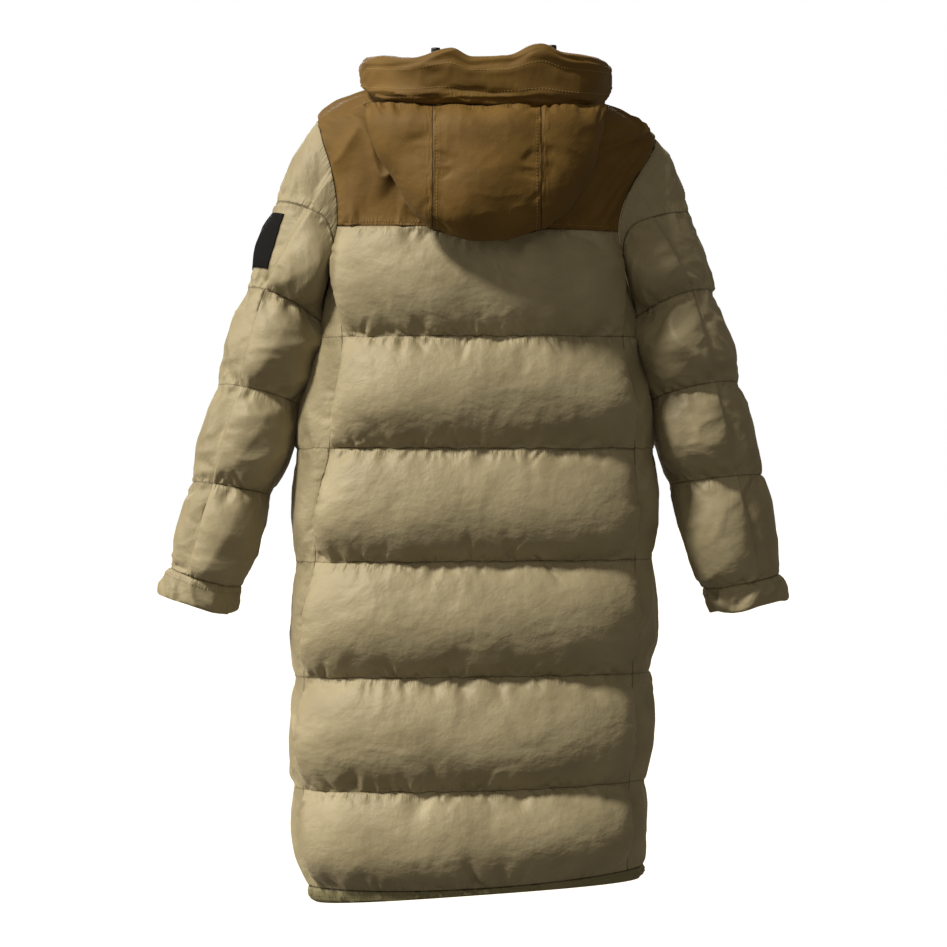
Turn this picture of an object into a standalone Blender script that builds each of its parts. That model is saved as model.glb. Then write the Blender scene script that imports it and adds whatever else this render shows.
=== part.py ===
"""Long hooded puffer coat, closed and filled out, hollow, with its hood laid back.

The coat hangs from the neck and shoulders. The origin is the middle of the shoulders, between the neck
seam's two sides: the front faces -Y, up is +Z, and the wearer's left is +X. Every piece is a wall. Its
seam-level surface comes from level sections (body), a ring table (sleeves) or a profile (hood). The inside
is plain, and the outside is pushed out by the fullness of each quilted tier.
"""

import math

import bpy
import numpy as np

GAP = 0.0003
INSIDE = 0.0015
OUTSIDE = 0.0010


def table(columns, rows):
    """The rows as one array for each named column."""
    return dict(zip(columns.split(), np.array(rows, float).T))


def along(rows, column, at):
    """A column's value between its rows, on a curve that doesn't overshoot; the first column is the key."""
    keys = next(iter(rows.values()))
    order = np.argsort(keys)
    keys = keys[order]
    values = rows[column][order]
    secants = np.diff(values) / np.diff(keys)
    before, after = secants[:-1], secants[1:]
    turning = before * after <= 0
    middle = np.where(turning, 0, 2 * before * after / np.where(turning, 1, before + after))
    slopes = np.concatenate([secants[:1], middle, secants[-1:]])
    at = np.clip(at, keys[0], keys[-1])
    low = np.clip(np.searchsorted(keys, at) - 1, 0, len(keys) - 2)
    width = keys[low + 1] - keys[low]
    t = (at - keys[low]) / width
    start = (1 + 2 * t) * (1 - t) ** 2 * values[low] + t * (1 - t) ** 2 * width * slopes[low]
    end = t * t * (3 - 2 * t) * values[low + 1] - t * t * (1 - t) * width * slopes[low + 1]
    return start + end


# ---------------------------------------------------------------- body

# Level sections of the body at its seams. tilt and bend lift a section's points with x and x squared.
BODY = table(
    "height centre_x half_width back front squareness tilt bend",
    [
        (0.026, -0.0185, 0.0820, 0.0740, 0.0780, 2.10, 0.060, 0.0030),
        (0.017, -0.0185, 0.1250, 0.0800, 0.0840, 2.10, 0.060, 0.0030),
        (0.007, -0.0185, 0.1640, 0.0860, 0.0900, 2.20, 0.060, 0.0030),
        (-0.008, -0.0185, 0.2010, 0.0910, 0.0950, 2.30, 0.060, 0.0030),
        (-0.020, -0.0185, 0.2185, 0.0945, 0.0985, 2.35, 0.059, 0.0030),
        (-0.034, -0.0180, 0.2265, 0.0980, 0.1020, 2.40, 0.057, 0.0025),
        (-0.055, -0.0165, 0.2260, 0.1020, 0.1050, 2.45, 0.052, 0.0020),
        (-0.085, -0.0130, 0.2190, 0.1060, 0.1085, 2.50, 0.043, 0.0010),
        (-0.120, -0.0090, 0.2110, 0.1100, 0.1110, 2.50, 0.032, 0.0000),
        (-0.164, -0.0060, 0.2050, 0.1120, 0.1130, 2.50, 0.021, 0.0000),
        (-0.220, -0.0060, 0.2040, 0.1130, 0.1130, 2.50, 0.010, 0.0000),
        (-0.308, -0.0070, 0.2130, 0.1140, 0.1120, 2.50, 0.000, 0.0000),
        (-0.360, -0.0055, 0.2215, 0.1150, 0.1120, 2.50, 0.000, 0.0000),
        (-0.410, -0.0045, 0.2335, 0.1160, 0.1120, 2.50, 0.000, 0.0000),
        (-0.457, -0.0015, 0.2385, 0.1170, 0.1120, 2.50, 0.000, 0.0000),
        (-0.607, -0.0010, 0.2385, 0.1190, 0.1140, 2.50, -0.008, 0.0000),
        (-0.760, 0.0015, 0.2370, 0.1200, 0.1160, 2.50, -0.012, 0.0000),
        (-0.911, 0.0055, 0.2350, 0.1220, 0.1180, 2.50, -0.024, 0.0045),
        (-0.980, 0.0040, 0.2310, 0.1220, 0.1180, 2.50, -0.042, 0.0080),
        (-1.040, -0.0030, 0.2240, 0.1200, 0.1160, 2.50, -0.060, 0.0100),
        (-1.049, -0.0050, 0.2180, 0.1190, 0.1150, 2.50, -0.072, -0.0010),
    ],
)

# Quilted tiers from the yoke's seam to the hem's, with how far each stands out on each piece.
TIERS = table(
    "top bottom back_loft front_loft side_loft",
    [
        (-0.164, -0.308, 0.026, 0.022, 0.0015),
        (-0.308, -0.457, 0.029, 0.026, 0.003),
        (-0.457, -0.607, 0.031, 0.028, 0.005),
        (-0.607, -0.760, 0.031, 0.028, 0.005),
        (-0.760, -0.911, 0.031, 0.028, 0.006),
        (-0.911, -1.040, 0.028, 0.026, 0.007),
    ],
)
YOKE_SEAM = TIERS["top"][0]
HEM_SEAM = TIERS["bottom"][-1]
HEM_EDGE = -1.049
TIER_STEPS = (0.0, 0.035, 0.13, 0.29, 0.5, 0.71, 0.87, 0.965, 1.0)

NECK_HALF_WIDTH = 0.087
NECK_BACK = 0.087
NECK_FRONT = 0.098
NECK_TOP = 0.024

ARMHOLE_TOP = -0.026
ARMHOLE_BOTTOM = -0.262
ARMHOLE_HALF_WIDTH = 0.068
SHOULDER_SEAM_Y = -0.008
SIDE_PANEL_FRONT_Y = -0.068
ZIP_HALF_WIDTH = 0.006

# y of the side panels' back seams by height, 1 the wearer's left and -1 the right; the first is the armhole's.
SIDE_BACK = {
    1: table(
        "height y",
        [
            (-0.200, 0.052),
            (-0.308, 0.073),
            (-0.360, 0.0785),
            (-0.457, 0.082),
            (-0.530, 0.074),
            (-0.607, 0.069),
            (-0.680, 0.060),
            (-0.760, 0.053),
            (-0.911, 0.056),
        ],
    ),
    -1: table("height y", [(-0.200, 0.056), (-0.360, 0.067)]),
}

YOKE_LOFT = 0.008
HEM_LOFT = 0.004
SAG = 0.25
PUFF_SKEW = 1.2
PUFF_ROUNDNESS = 0.6
FULL_TIER = 0.12
LEAST_TIER = 0.1
NORMAL_STEP = 1e-4


def section_reach(angle, height):
    """How far the level section at a height is from its middle, at an angle in radians."""
    depth = np.where(np.sin(angle) > 0, along(BODY, "back", height), along(BODY, "front", height))
    power = along(BODY, "squareness", height)
    across = np.abs(np.cos(angle)) / along(BODY, "half_width", height)
    return (across**power + (np.abs(np.sin(angle)) / depth) ** power) ** (-1 / power)


def torso(angle, height):
    """Seam-level point of the body at an angle in degrees: 0 the wearer's left, 90 the back, 270 the front."""
    angle, height = np.broadcast_arrays(np.radians(angle), height)
    reach = section_reach(angle, height)
    x = reach * np.cos(angle)
    bent = along(BODY, "bend", height) * (x / along(BODY, "half_width", height)) ** 2
    rise = along(BODY, "tilt", height) * x + bent
    return np.stack([along(BODY, "centre_x", height) + x, reach * np.sin(angle), height + rise], -1)


def side_angle(y, height):
    """The angle at which the left side of the section at a height is at a given y."""
    half_width = along(BODY, "half_width", height)
    depth = np.where(y > 0, along(BODY, "back", height), along(BODY, "front", height))
    power = along(BODY, "squareness", height)
    x = half_width * (1 - (np.abs(y) / depth) ** power) ** (1 / power)
    return np.degrees(np.arctan2(y, x))


def front_angle(x, height):
    """The angle at which the front of the section at a height is x to the left of its middle."""
    half_width = along(BODY, "half_width", height)
    power = along(BODY, "squareness", height)
    y = along(BODY, "front", height) * (1 - (np.abs(x) / half_width) ** power) ** (1 / power)
    return 360 - np.degrees(np.arctan2(y, x))


def armhole_y(height, way):
    """y of the armhole's edge at a height, behind (way 1) or in front (way -1) of the shoulder seam."""
    middle = (ARMHOLE_TOP + ARMHOLE_BOTTOM) / 2
    half = (ARMHOLE_TOP - ARMHOLE_BOTTOM) / 2
    share = np.clip((height - middle) / half, -1, 1)
    return SHOULDER_SEAM_Y + way * ARMHOLE_HALF_WIDTH * np.sqrt(1 - share**2)


def armhole_height(y):
    """Height of the armhole's lower edge at a y."""
    share = np.clip((y - SHOULDER_SEAM_Y) / ARMHOLE_HALF_WIDTH, -1, 1)
    middle = (ARMHOLE_TOP + ARMHOLE_BOTTOM) / 2
    return middle + (ARMHOLE_BOTTOM - middle) * np.sqrt(1 - share**2)


def neck_height(angle):
    """Height of the neck seam at an angle in degrees: where the body's section reaches the neck's oval."""
    angle = np.radians(angle)
    depth = np.where(np.sin(angle) > 0, NECK_BACK, NECK_FRONT)
    oval = np.hypot(np.cos(angle) / NECK_HALF_WIDTH, np.sin(angle) / depth) ** -1
    low = np.full_like(oval, ARMHOLE_TOP)
    high = np.full_like(oval, BODY["height"][0])
    for _ in range(20):
        middle = (low + high) / 2
        beyond = section_reach(angle, middle) > oval
        low = np.where(beyond, middle, low)
        high = np.where(beyond, high, middle)
    return (low + high) / 2


def normals(surface, first, second, facing):
    """Unit normals of a surface of two parameters, by differences; facing turns them outwards."""
    step = NORMAL_STEP
    by_first = surface(first + step, second) - surface(first - step, second)
    by_second = surface(first, second + step) - surface(first, second - step)
    found = np.cross(by_first, by_second)
    return facing * found / np.linalg.norm(found, axis=-1, keepdims=True)


def puff(t):
    """Share of a tier's fullness at a share t of the way down it, fullest below its middle."""
    return np.sin(np.pi * np.clip(t, 0, 1) ** PUFF_SKEW) ** PUFF_ROUNDNESS


def pinch(u, sharpness):
    """Share of a tier's fullness at a share u of the way across it, none at its side seams."""
    return np.sqrt(np.clip(1 - np.abs(2 * u - 1) ** sharpness, 0, 1))


# ---------------------------------------------------------------- making walls

COAT = bpy.data.collections.new("Puffer coat")


def clear_scene():
    for old in list(bpy.data.objects):
        bpy.data.objects.remove(old, do_unlink=True)
    bpy.context.scene.collection.children.link(COAT)


def material(name, colour, roughness, metallic=0.0):
    made = bpy.data.materials.new(name)
    made.use_nodes = True
    shader = made.node_tree.nodes["Principled BSDF"]
    shader.inputs["Base Color"].default_value = (*colour, 1)
    shader.inputs["Roughness"].default_value = roughness
    shader.inputs["Metallic"].default_value = metallic
    made.diffuse_color = (*colour, 1)
    return made


def add_mesh(name, points, faces, finish):
    """One closed mesh object, turned outwards by the sign of its volume."""
    corners = np.array(faces)[:, :3]
    volume = np.einsum("ij,ij->i", points[corners[:, 0]], np.cross(points[corners[:, 1]], points[corners[:, 2]]))
    if volume.sum() < 0:
        faces = [face[::-1] for face in faces]
    mesh = bpy.data.meshes.new(name)
    mesh.from_pydata(points.tolist(), [], faces)
    mesh.materials.append(finish)
    mesh.shade_smooth()
    mesh.set_sharp_from_angle(angle=math.radians(50))
    made = bpy.data.objects.new(name, mesh)
    COAT.objects.link(made)
    return made


def skin_faces(rows, columns, start, ring, flip):
    """Triangles over a grid of points."""
    faces = []
    for i in range(rows - 1):
        for j in range(columns if ring else columns - 1):
            a = start + i * columns + j
            b = start + i * columns + (j + 1) % columns
            quad = (a, b, b + columns, a + columns)
            quad = quad[::-1] if flip else quad
            faces += [(quad[0], quad[1], quad[2]), (quad[0], quad[2], quad[3])]
    return faces


def strip_faces(long_edge, short_edge, flip):
    """Triangles between an edge of many points and one with fewer, evenly shared."""
    many = (len(long_edge) - 1) // (len(short_edge) - 1)
    faces = []
    for m in range(len(short_edge) - 1):
        part = long_edge[m * many : (m + 1) * many + 1]
        half = (many + 1) // 2
        a, b = short_edge[m], short_edge[m + 1]
        faces += [(a, part[j + 1], part[j]) for j in range(half)]
        faces += [(a, b, part[half])]
        faces += [(b, part[j + 1], part[j]) for j in range(half, many)]
    return [face[::-1] for face in faces] if flip else faces


def wall(name, outer, inner, finish, ring=False):
    """A closed wall between a grid of outer points and a grid of inner points with fewer rows."""
    rows, columns = outer.shape[:2]
    inner_rows = inner.shape[0]
    start = rows * columns
    faces = skin_faces(rows, columns, 0, ring, False)
    faces += skin_faces(inner_rows, columns, start, ring, True)
    row = np.arange(columns + 1) % columns if ring else np.arange(columns)
    faces += strip_faces(row.tolist(), (start + row).tolist(), False)
    last_outer = (rows - 1) * columns + row
    last_inner = start + (inner_rows - 1) * columns + row
    faces += strip_faces(last_outer.tolist(), last_inner.tolist(), True)
    if not ring:
        for j, flip in ((0, True), (columns - 1, False)):
            outer_edge = (np.arange(rows) * columns + j).tolist()
            inner_edge = (start + np.arange(inner_rows) * columns + j).tolist()
            faces += strip_faces(outer_edge, inner_edge, flip)
    points = np.concatenate([outer.reshape(-1, 3), inner.reshape(-1, 3)])
    return add_mesh(name, points, faces, finish)


# ---------------------------------------------------------------- body pieces


def level(height):
    """A seam at one height all the way across."""
    return lambda share: np.full_like(share, height)


def quilted_tiers(armhole_edge=None):
    """The six tiers' top and bottom seams, with a gap to the yoke and to the hem band."""
    tops = [level(height) for height in TIERS["top"]]
    bottoms = [level(height) for height in TIERS["bottom"]]
    tops[0] = armhole_edge or level(YOKE_SEAM - GAP / 2)
    bottoms[-1] = level(HEM_SEAM + GAP / 2)
    return tops, bottoms


def panel(name, finish, angles, columns, seams, lofts, sharpness, steps, inner_every):
    """A body piece in tiers.

    angles gives each point's angle from its height and its share across the piece. seams holds the tiers'
    tops and bottoms as functions of that share, and lofts how far each tier stands out. A tier's fullness
    also sags by a share of it.
    """
    share = np.linspace(0, 1, columns + 1)
    heights, loft = [], []
    for number, (top, bottom) in enumerate(zip(*seams)):
        tall = np.clip((top(share) - bottom(share)) / FULL_TIER, LEAST_TIER, 1)
        for t in steps if number == 0 else steps[1:]:
            heights.append(top(share) + (bottom(share) - top(share)) * t)
            loft.append(lofts[number] * puff(t) * pinch(share, sharpness) * tall)
    heights = np.array(heights)
    loft = np.array(loft)[..., None]
    angle = angles(heights, share)
    base = torso(angle, heights)
    out = normals(torso, angle, heights, 1)
    outer = base + out * (OUTSIDE + loft) - np.array([0, 0, SAG]) * loft
    wall(name, outer, (base - out * INSIDE)[::inner_every], finish)


def between(first, second):
    """Angles evenly spaced from one edge to another."""
    return lambda heights, share: first(heights) + (second(heights) - first(heights)) * share


def side_back_y(side, height):
    """y of a side panel's back seam at a height."""
    return along(SIDE_BACK[side], "y", height)


def back_edge(side, height):
    """Angle of the back's edge as on the left: the armhole above the side panel, the side panel's seam below."""
    seam = side_back_y(side, height)
    y = np.where(height > armhole_height(SIDE_BACK[side]["y"][0]), armhole_y(height, 1), seam)
    return side_angle(np.where(height > ARMHOLE_TOP, SHOULDER_SEAM_Y, y) + GAP / 2, height)


def front_edge(height):
    """Angle of the front's left edge, from the same lines in front."""
    y = np.where(height > armhole_height(SIDE_PANEL_FRONT_Y), armhole_y(height, -1), SIDE_PANEL_FRONT_Y)
    return side_angle(np.where(height > ARMHOLE_TOP, SHOULDER_SEAM_Y, y) - GAP / 2, height)


def side_across(side):
    """Angles across a side panel, as on the left, from its back seam to its front seam."""

    def across(heights, share):
        back = side_back_y(side, heights)
        y = back + (SIDE_PANEL_FRONT_Y - back) * share
        return side_angle(y + GAP * (share - 0.5), heights)

    return across


def zip_edge(side):
    return lambda height: front_angle(side * (ZIP_HALF_WIDTH + GAP), height)


BACK_ACROSS = between(lambda height: back_edge(1, height), lambda height: 180 - back_edge(-1, height))
SIDE_ACROSS = {
    "left": side_across(1),
    "right": lambda heights, share: 180 - side_across(-1)(heights, share),
}
FRONT_ACROSS = {
    "left": between(zip_edge(1), lambda height: 360 + front_edge(height)),
    "right": between(lambda height: 180 - front_edge(height), zip_edge(-1)),
}
BACK_COLUMNS = 14
FRONT_COLUMNS = 7
SIDE_COLUMNS = 4

# How sharply a piece's fullness comes down to its two side seams: 3 is round, 60 nearly square.
BACK_SHARPNESS = 10
FRONT_SHARPNESS = 6
SIDE_SHARPNESS = 3
BACK_YOKE_SHARPNESS = 6
FRONT_YOKE_SHARPNESS = 4
HEM_SHARPNESS = 60
SLEEVE_SHARPNESS = 5
HOOD_SHARPNESS = 6
HOOD_SIDE_SHARPNESS = 4


def body_panels(khaki):
    seams = quilted_tiers()
    panel("back_panel", khaki, BACK_ACROSS, BACK_COLUMNS, seams, TIERS["back_loft"], BACK_SHARPNESS, TIER_STEPS, 2)
    for name, across in FRONT_ACROSS.items():
        lofts = TIERS["front_loft"]
        panel(f"front_{name}", khaki, across, FRONT_COLUMNS, seams, lofts, FRONT_SHARPNESS, TIER_STEPS, 2)


def side_panels(khaki):
    """The pieces under the arms, from the hem up to the armhole's lower edge."""
    for side, name in ((1, "left"), (-1, "right")):

        def armhole_edge(share, back=SIDE_BACK[side]["y"][0]):
            return armhole_height(back + (SIDE_PANEL_FRONT_Y - back) * share)

        seams = quilted_tiers(armhole_edge)
        node, lofts = f"side_panel_{name}", TIERS["side_loft"]
        panel(node, khaki, SIDE_ACROSS[name], SIDE_COLUMNS, seams, lofts, SIDE_SHARPNESS, TIER_STEPS, 2)


HEM_STEPS = (0, 0.3, 0.7, 1)
YOKE_STEPS = (0.0, 0.09, 0.18, 0.25, 0.275, 0.305, 0.35, 0.42, 0.52, 0.65, 0.78, 0.89, 0.96, 1.0)


def yokes(brown):
    """The brown shoulder pieces: one behind, from armhole to armhole, and one on each side of the zip."""
    pieces = [("back_yoke", BACK_ACROSS, BACK_COLUMNS, BACK_YOKE_SHARPNESS)]
    for name, across in FRONT_ACROSS.items():
        pieces.append((f"front_yoke_{name}", across, FRONT_COLUMNS, FRONT_YOKE_SHARPNESS))
    for name, across, columns, sharpness in pieces:

        def neck_edge(share, across=across):
            return neck_height(across(np.full_like(share, NECK_TOP), share))

        seams = [neck_edge], [level(YOKE_SEAM + GAP / 2)]
        panel(name, brown, across, columns, seams, [YOKE_LOFT], sharpness, YOKE_STEPS, 1)


def round_the_body(pieces, heights):
    """Angles all round from the zip's left side to its right, at the pieces' own columns."""
    found = [across(heights, np.arange(columns) / columns) for across, columns in pieces]
    return np.concatenate(found + [FRONT_ACROSS["right"](heights, 1.0)], axis=-1)


def hem_band(olive):
    """The turned-up band below the last tier, open where the zip ends."""
    pieces = (
        (FRONT_ACROSS["left"], FRONT_COLUMNS),
        (lambda heights, share: SIDE_ACROSS["left"](heights, 1 - share), SIDE_COLUMNS),
        (BACK_ACROSS, BACK_COLUMNS),
        (SIDE_ACROSS["right"], SIDE_COLUMNS),
        (FRONT_ACROSS["right"], FRONT_COLUMNS),
    )
    columns = sum(count for _, count in pieces)
    seams = [level(HEM_SEAM - GAP / 2)], [level(HEM_EDGE)]
    across = lambda heights, share: round_the_body(pieces, heights[:, :1])
    panel("hem_band", olive, across, columns, seams, [HEM_LOFT], HEM_SHARPNESS, HEM_STEPS, 1)


# ---------------------------------------------------------------- sleeves

CAP_BULGE = 0.010
CAP_PEAK = 27 / 4
CAP_LIFT = 0.4
OUTER_SEAM = 65.0
SLEEVE_GAP = 0.0018
UNDERARM_GAP = 0.0060
CAP_LEAST = 0.06
CUFF_GAP = 0.003
TIER_LENGTH = 0.10
OUTER_LOFT = 0.007
UNDER_LOFT = 0.016
PRESSED = 0.85
SEAM_TURN = 0.2
CUFF_RING = 4
CUFF_LOFT = 0.004
CUFF_COLUMNS = 20
CUFF_STEPS = (0, 0.15, 0.4, 0.7, 1)
CUFF_FOLDS = 5
CUFF_FOLD_HEIGHT = 0.0015
OUTER_COLUMNS = 8
UNDER_COLUMNS = 10
PATCH_ROWS = slice(6, 11)
PATCH_COLUMNS = slice(3, 8)
PATCH_LOW = 0.0006
PATCH_HIGH = 0.0020

# Turns, from the shoulder, where the armhole's gap widens and where the arm's side is pressed flatter.
UNDERARM = (95, 140)
FLATTER = (125, 180)

# Quilt seams round each sleeve, from the first that goes all round to the cuff's edge. slope turns a
# ring's outer end up, in degrees, and arch lifts the ring at the back.
RINGS = {
    1: table(
        "ring x y z half_width half_depth slope arch",
        [
            (1, 0.2595, -0.004, -0.263, 0.0480, 0.055, 24.0, 0.012),
            (2, 0.2885, -0.010, -0.388, 0.0575, 0.058, 14.5, 0.010),
            (3, 0.3275, -0.020, -0.511, 0.0520, 0.055, 9.6, 0.004),
            (4, 0.3625, -0.030, -0.629, 0.0475, 0.050, 14.5, -0.005),
            (5, 0.3775, -0.034, -0.666, 0.0510, 0.053, 15.0, -0.005),
        ],
    ),
    -1: table(
        "ring x y z half_width half_depth slope arch",
        [
            (1, -0.2725, -0.004, -0.263, 0.0500, 0.055, 19.0, 0.012),
            (2, -0.2985, -0.010, -0.382, 0.0585, 0.058, 11.8, 0.010),
            (3, -0.3275, -0.020, -0.4995, 0.0605, 0.056, 6.1, 0.004),
            (4, -0.3625, -0.030, -0.6355, 0.0505, 0.051, 10.5, -0.003),
            (5, -0.3745, -0.034, -0.668, 0.0530, 0.054, 12.0, -0.003),
        ],
    ),
}

# Share of the way from the armhole to the first ring where the cap's own quilt seam lies.
CAP_SEAM = table(
    "turn share",
    [(0, 0.53), (35, 0.46), (65, 0.33), (90, 0.16), (115, 0.08), (180, 0.08)],
)

SLEEVE_STEPS = (0.0, 0.05, 0.19, 0.4, 0.62, 0.82, 0.95, 1.0)
CAP_STEPS = (0.0, 0.14, 0.4, 0.68, 0.9, 1.0)


def armhole(side, turn):
    """Point of the armhole's edge: turn 0 the shoulder, 90 behind, 180 under the arm."""
    turn = np.radians(turn)
    y = SHOULDER_SEAM_Y + ARMHOLE_HALF_WIDTH * np.sin(turn)
    middle = (ARMHOLE_TOP + ARMHOLE_BOTTOM) / 2
    height = middle + (ARMHOLE_TOP - middle) * np.cos(turn)
    angle = side_angle(y, height)
    return torso(angle if side == 1 else 180 - angle, height)


def ring_point(side, turn, ring):
    rows = RINGS[side]
    turn = np.radians(turn)
    slope = np.radians(along(rows, "slope", ring))
    width = along(rows, "half_width", ring) * np.cos(turn)
    x = along(rows, "x", ring) + side * width * np.cos(slope)
    y = along(rows, "y", ring) + along(rows, "half_depth", ring) * np.sin(turn)
    z = along(rows, "z", ring) + width * np.sin(slope) + along(rows, "arch", ring) * np.sin(turn)
    return np.stack([x, y, z], -1)


def sleeve(side, turn, ring):
    """Seam-level point of a sleeve: ring 0 is the armhole, 4 the cuff's seam, 5 the cuff's edge."""
    turn, ring = np.broadcast_arrays(turn, ring)
    share = np.clip(ring, 0, 1)[..., None]
    start = armhole(side, turn)
    end = ring_point(side, turn, np.clip(ring, 1, 5))
    cosine, sine = np.cos(np.radians(turn)), np.sin(np.radians(turn))
    outward = np.stack([side * cosine, sine, CAP_LIFT + 0 * turn], -1) * ((1 + cosine) / 2)[..., None] ** 2
    bulge = CAP_BULGE * CAP_PEAK * share * (1 - share) ** 2
    return start + (end - start) * share + bulge * outward


def sleeve_panel(name, side, first, second, columns, loft, finish):
    """One of a sleeve's two lengthwise pieces, between two turns, with its cap and four tiers.

    The side against the body is pressed flatter.
    """
    turn = np.linspace(first, second, columns + 1)
    inward = np.abs((turn + 180) % 360 - 180)
    reach = np.linalg.norm(ring_point(side, turn, 1.0) - armhole(side, turn), axis=-1)
    under = np.interp(inward, UNDERARM, (0, 1))
    start = (SLEEVE_GAP + (UNDERARM_GAP - SLEEVE_GAP) * under) / reach
    seam = np.maximum(along(CAP_SEAM, "share", inward), start + CAP_LEAST)
    pressed = 1 - PRESSED * np.interp(inward, FLATTER, (0, 1))
    spans = ((start, seam), (seam, 1), (1, 2), (2, 3), (3, CUFF_RING - CUFF_GAP))
    across = np.linspace(0, 1, columns + 1)
    rings, stands = [], []
    for number, (top, bottom) in enumerate(spans):
        long = np.clip(reach * (bottom - top) / TIER_LENGTH, 0, 1) if number < 2 else 1
        for t in CAP_STEPS if number == 0 else SLEEVE_STEPS[1:]:
            rings.append(top + (bottom - top) * t + 0 * turn)
            stands.append(loft * puff(t) * pinch(across, SLEEVE_SHARPNESS) * long * pressed)
    rings = np.array(rings)
    stands = np.array(stands)[..., None]
    surface = lambda at, ring: sleeve(side, at, ring)
    turns = np.broadcast_to(turn, rings.shape)
    base = surface(turns, rings)
    out = normals(surface, turns, rings, -side)
    outer = base + out * (OUTSIDE + stands)
    wall(name, outer, (base - out * INSIDE)[::3], finish)
    return outer, out


def sleeves(khaki):
    """Both sleeves, and the left outer piece's points for the patch that lies on it."""
    found = {}
    for side, name in ((1, "left"), (-1, "right")):
        first, last = OUTER_SEAM - SEAM_TURN, OUTER_SEAM + SEAM_TURN
        found[side] = sleeve_panel(f"sleeve_outer_{name}", side, -first, first, OUTER_COLUMNS, OUTER_LOFT, khaki)
        sleeve_panel(f"sleeve_under_{name}", side, last, 360 - last, UNDER_COLUMNS, UNDER_LOFT, khaki)
    return found[1]


def sleeve_patch(outer, out, black):
    """The plain sewn patch on the left sleeve, on the panel's own points moved out."""
    lying = outer[PATCH_ROWS, PATCH_COLUMNS]
    up = out[PATCH_ROWS, PATCH_COLUMNS]
    wall("sleeve_patch", lying + up * PATCH_HIGH, lying + up * PATCH_LOW, black)


def cuffs(khaki):
    """The turned-back bands at the sleeves' ends."""
    turn = np.arange(CUFF_COLUMNS) * 360 / CUFF_COLUMNS
    share = np.array(CUFF_STEPS)[:, None]
    for side, name in ((1, "left"), (-1, "right")):
        rings = CUFF_RING + CUFF_GAP + (1 - CUFF_GAP) * share + 0 * turn
        turns = turn + 0 * rings
        surface = lambda at, ring, side=side: sleeve(side, at, ring)
        base = surface(turns, rings)
        out = normals(surface, turns, rings, -side)
        folds = CUFF_FOLD_HEIGHT * np.sin(np.radians(turn * CUFF_FOLDS)) * share
        outer = base + out * (OUTSIDE + CUFF_LOFT * np.sin(np.pi * share[..., None]) ** 0.5 + folds[..., None])
        wall(f"cuff_{name}", outer, base - out * INSIDE, khaki, ring=True)


# ---------------------------------------------------------------- collar and zip

COLLAR_TOP_SIDE = 0.058
COLLAR_TOP_BACK = 0.054
COLLAR_TOP_FRONT = 0.046
COLLAR_INSET = 0.0030
COLLAR_LEAN = 0.004
COLLAR_LOFT = 0.004
COLLAR_STEPS = (0, 0.1, 0.3, 0.6, 0.85, 1)

TAPE_INSIDE = 0.0010
TAPE_OUTSIDE = 0.0006
TAPE_SHORT = 0.0006
SLIDER_DOWN = 0.010
SLIDER_CLEAR = 0.0007
SLIDER_SIZE = (0.0080, 0.0028, 0.0130)
LUG_SIZE = (0.0012, 0.0048, 0.0050)
LUG_SPREAD = 0.0026
SUNK = 0.0004
PIN_RADIUS = 0.0007
PIN_OUT = 0.0032
EYE_RADIUS = 0.0019
EYE_HOLE_RADIUS = 0.0011
TAB_THICK = 0.0014
TAB_NECK = (0.0034, 0.0080)
TAB_GRIP = (0.0070, 0.0200)


def collar_point(angle, share):
    """Point of the stand collar, from its seam (share 0) to its top edge (share 1)."""
    angle, share = np.broadcast_arrays(angle, share)
    foot = torso(angle, neck_height(angle))
    turned = np.radians(angle)
    rise = np.sin(turned)
    drop = np.where(rise > 0, COLLAR_TOP_SIDE - COLLAR_TOP_BACK, COLLAR_TOP_SIDE - COLLAR_TOP_FRONT)
    top = COLLAR_TOP_SIDE - drop * np.abs(rise)
    inward = np.stack([np.cos(turned), rise, 0 * rise], -1) * (COLLAR_INSET + COLLAR_LEAN * share)[..., None]
    point = foot - inward
    point[..., 2] += (top - foot[..., 2]) * share
    return point


def collar(brown):
    pieces = (
        (FRONT_ACROSS["left"], FRONT_COLUMNS),
        (BACK_ACROSS, BACK_COLUMNS),
        (FRONT_ACROSS["right"], FRONT_COLUMNS),
    )
    angle = round_the_body(pieces, np.array([NECK_TOP]))
    share = np.array(COLLAR_STEPS)[:, None]
    angle, share = np.broadcast_arrays(angle, share)
    base = collar_point(angle, share)
    out = normals(collar_point, angle, share, 1)
    loft = COLLAR_LOFT * np.sin(np.pi * share[..., None])
    wall("collar", base + out * (OUTSIDE + loft), base - out * INSIDE, brown)


def zip_line():
    """Points down the middle of the front: the collar's from its top, then the body's to the hem."""
    seams = [neck_height(270.0) - GAP, *TIERS["top"], HEM_SEAM]
    spans = zip(seams[:-1], seams[1:])
    heights = [top + (bottom - top) * t for top, bottom in spans for t in TIER_STEPS[:-1:2]]
    on_collar = collar_point(np.full(5, 270.0), np.linspace(1, 0, 5))
    heights = np.array([*heights, HEM_SEAM, HEM_EDGE])
    return np.concatenate([on_collar, torso(270.0, heights)])


def zip_tape(black):
    """The closed zip as one strip between the two fronts."""
    line = zip_line()
    down = np.gradient(line, axis=0)
    across = np.array([1.0, 0, 0])
    out = np.cross(down, across)
    out = -out / np.linalg.norm(out, axis=1)[:, None] * np.sign(out[:, 1:2])
    spread = np.array([-1.0, 0, 1.0])[None, :, None] * (ZIP_HALF_WIDTH - TAPE_SHORT) * across
    middle = line[:, None] + spread
    wall("zip_tape", middle + out[:, None] * TAPE_OUTSIDE, middle - out[:, None] * TAPE_INSIDE, black)


def block(size, centre):
    """A box mesh object; size and centre in metres."""
    bpy.ops.mesh.primitive_cube_add(size=1, location=centre, scale=size)
    made = bpy.context.object
    bpy.ops.object.transform_apply(location=False, rotation=False, scale=True)
    return made


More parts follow.
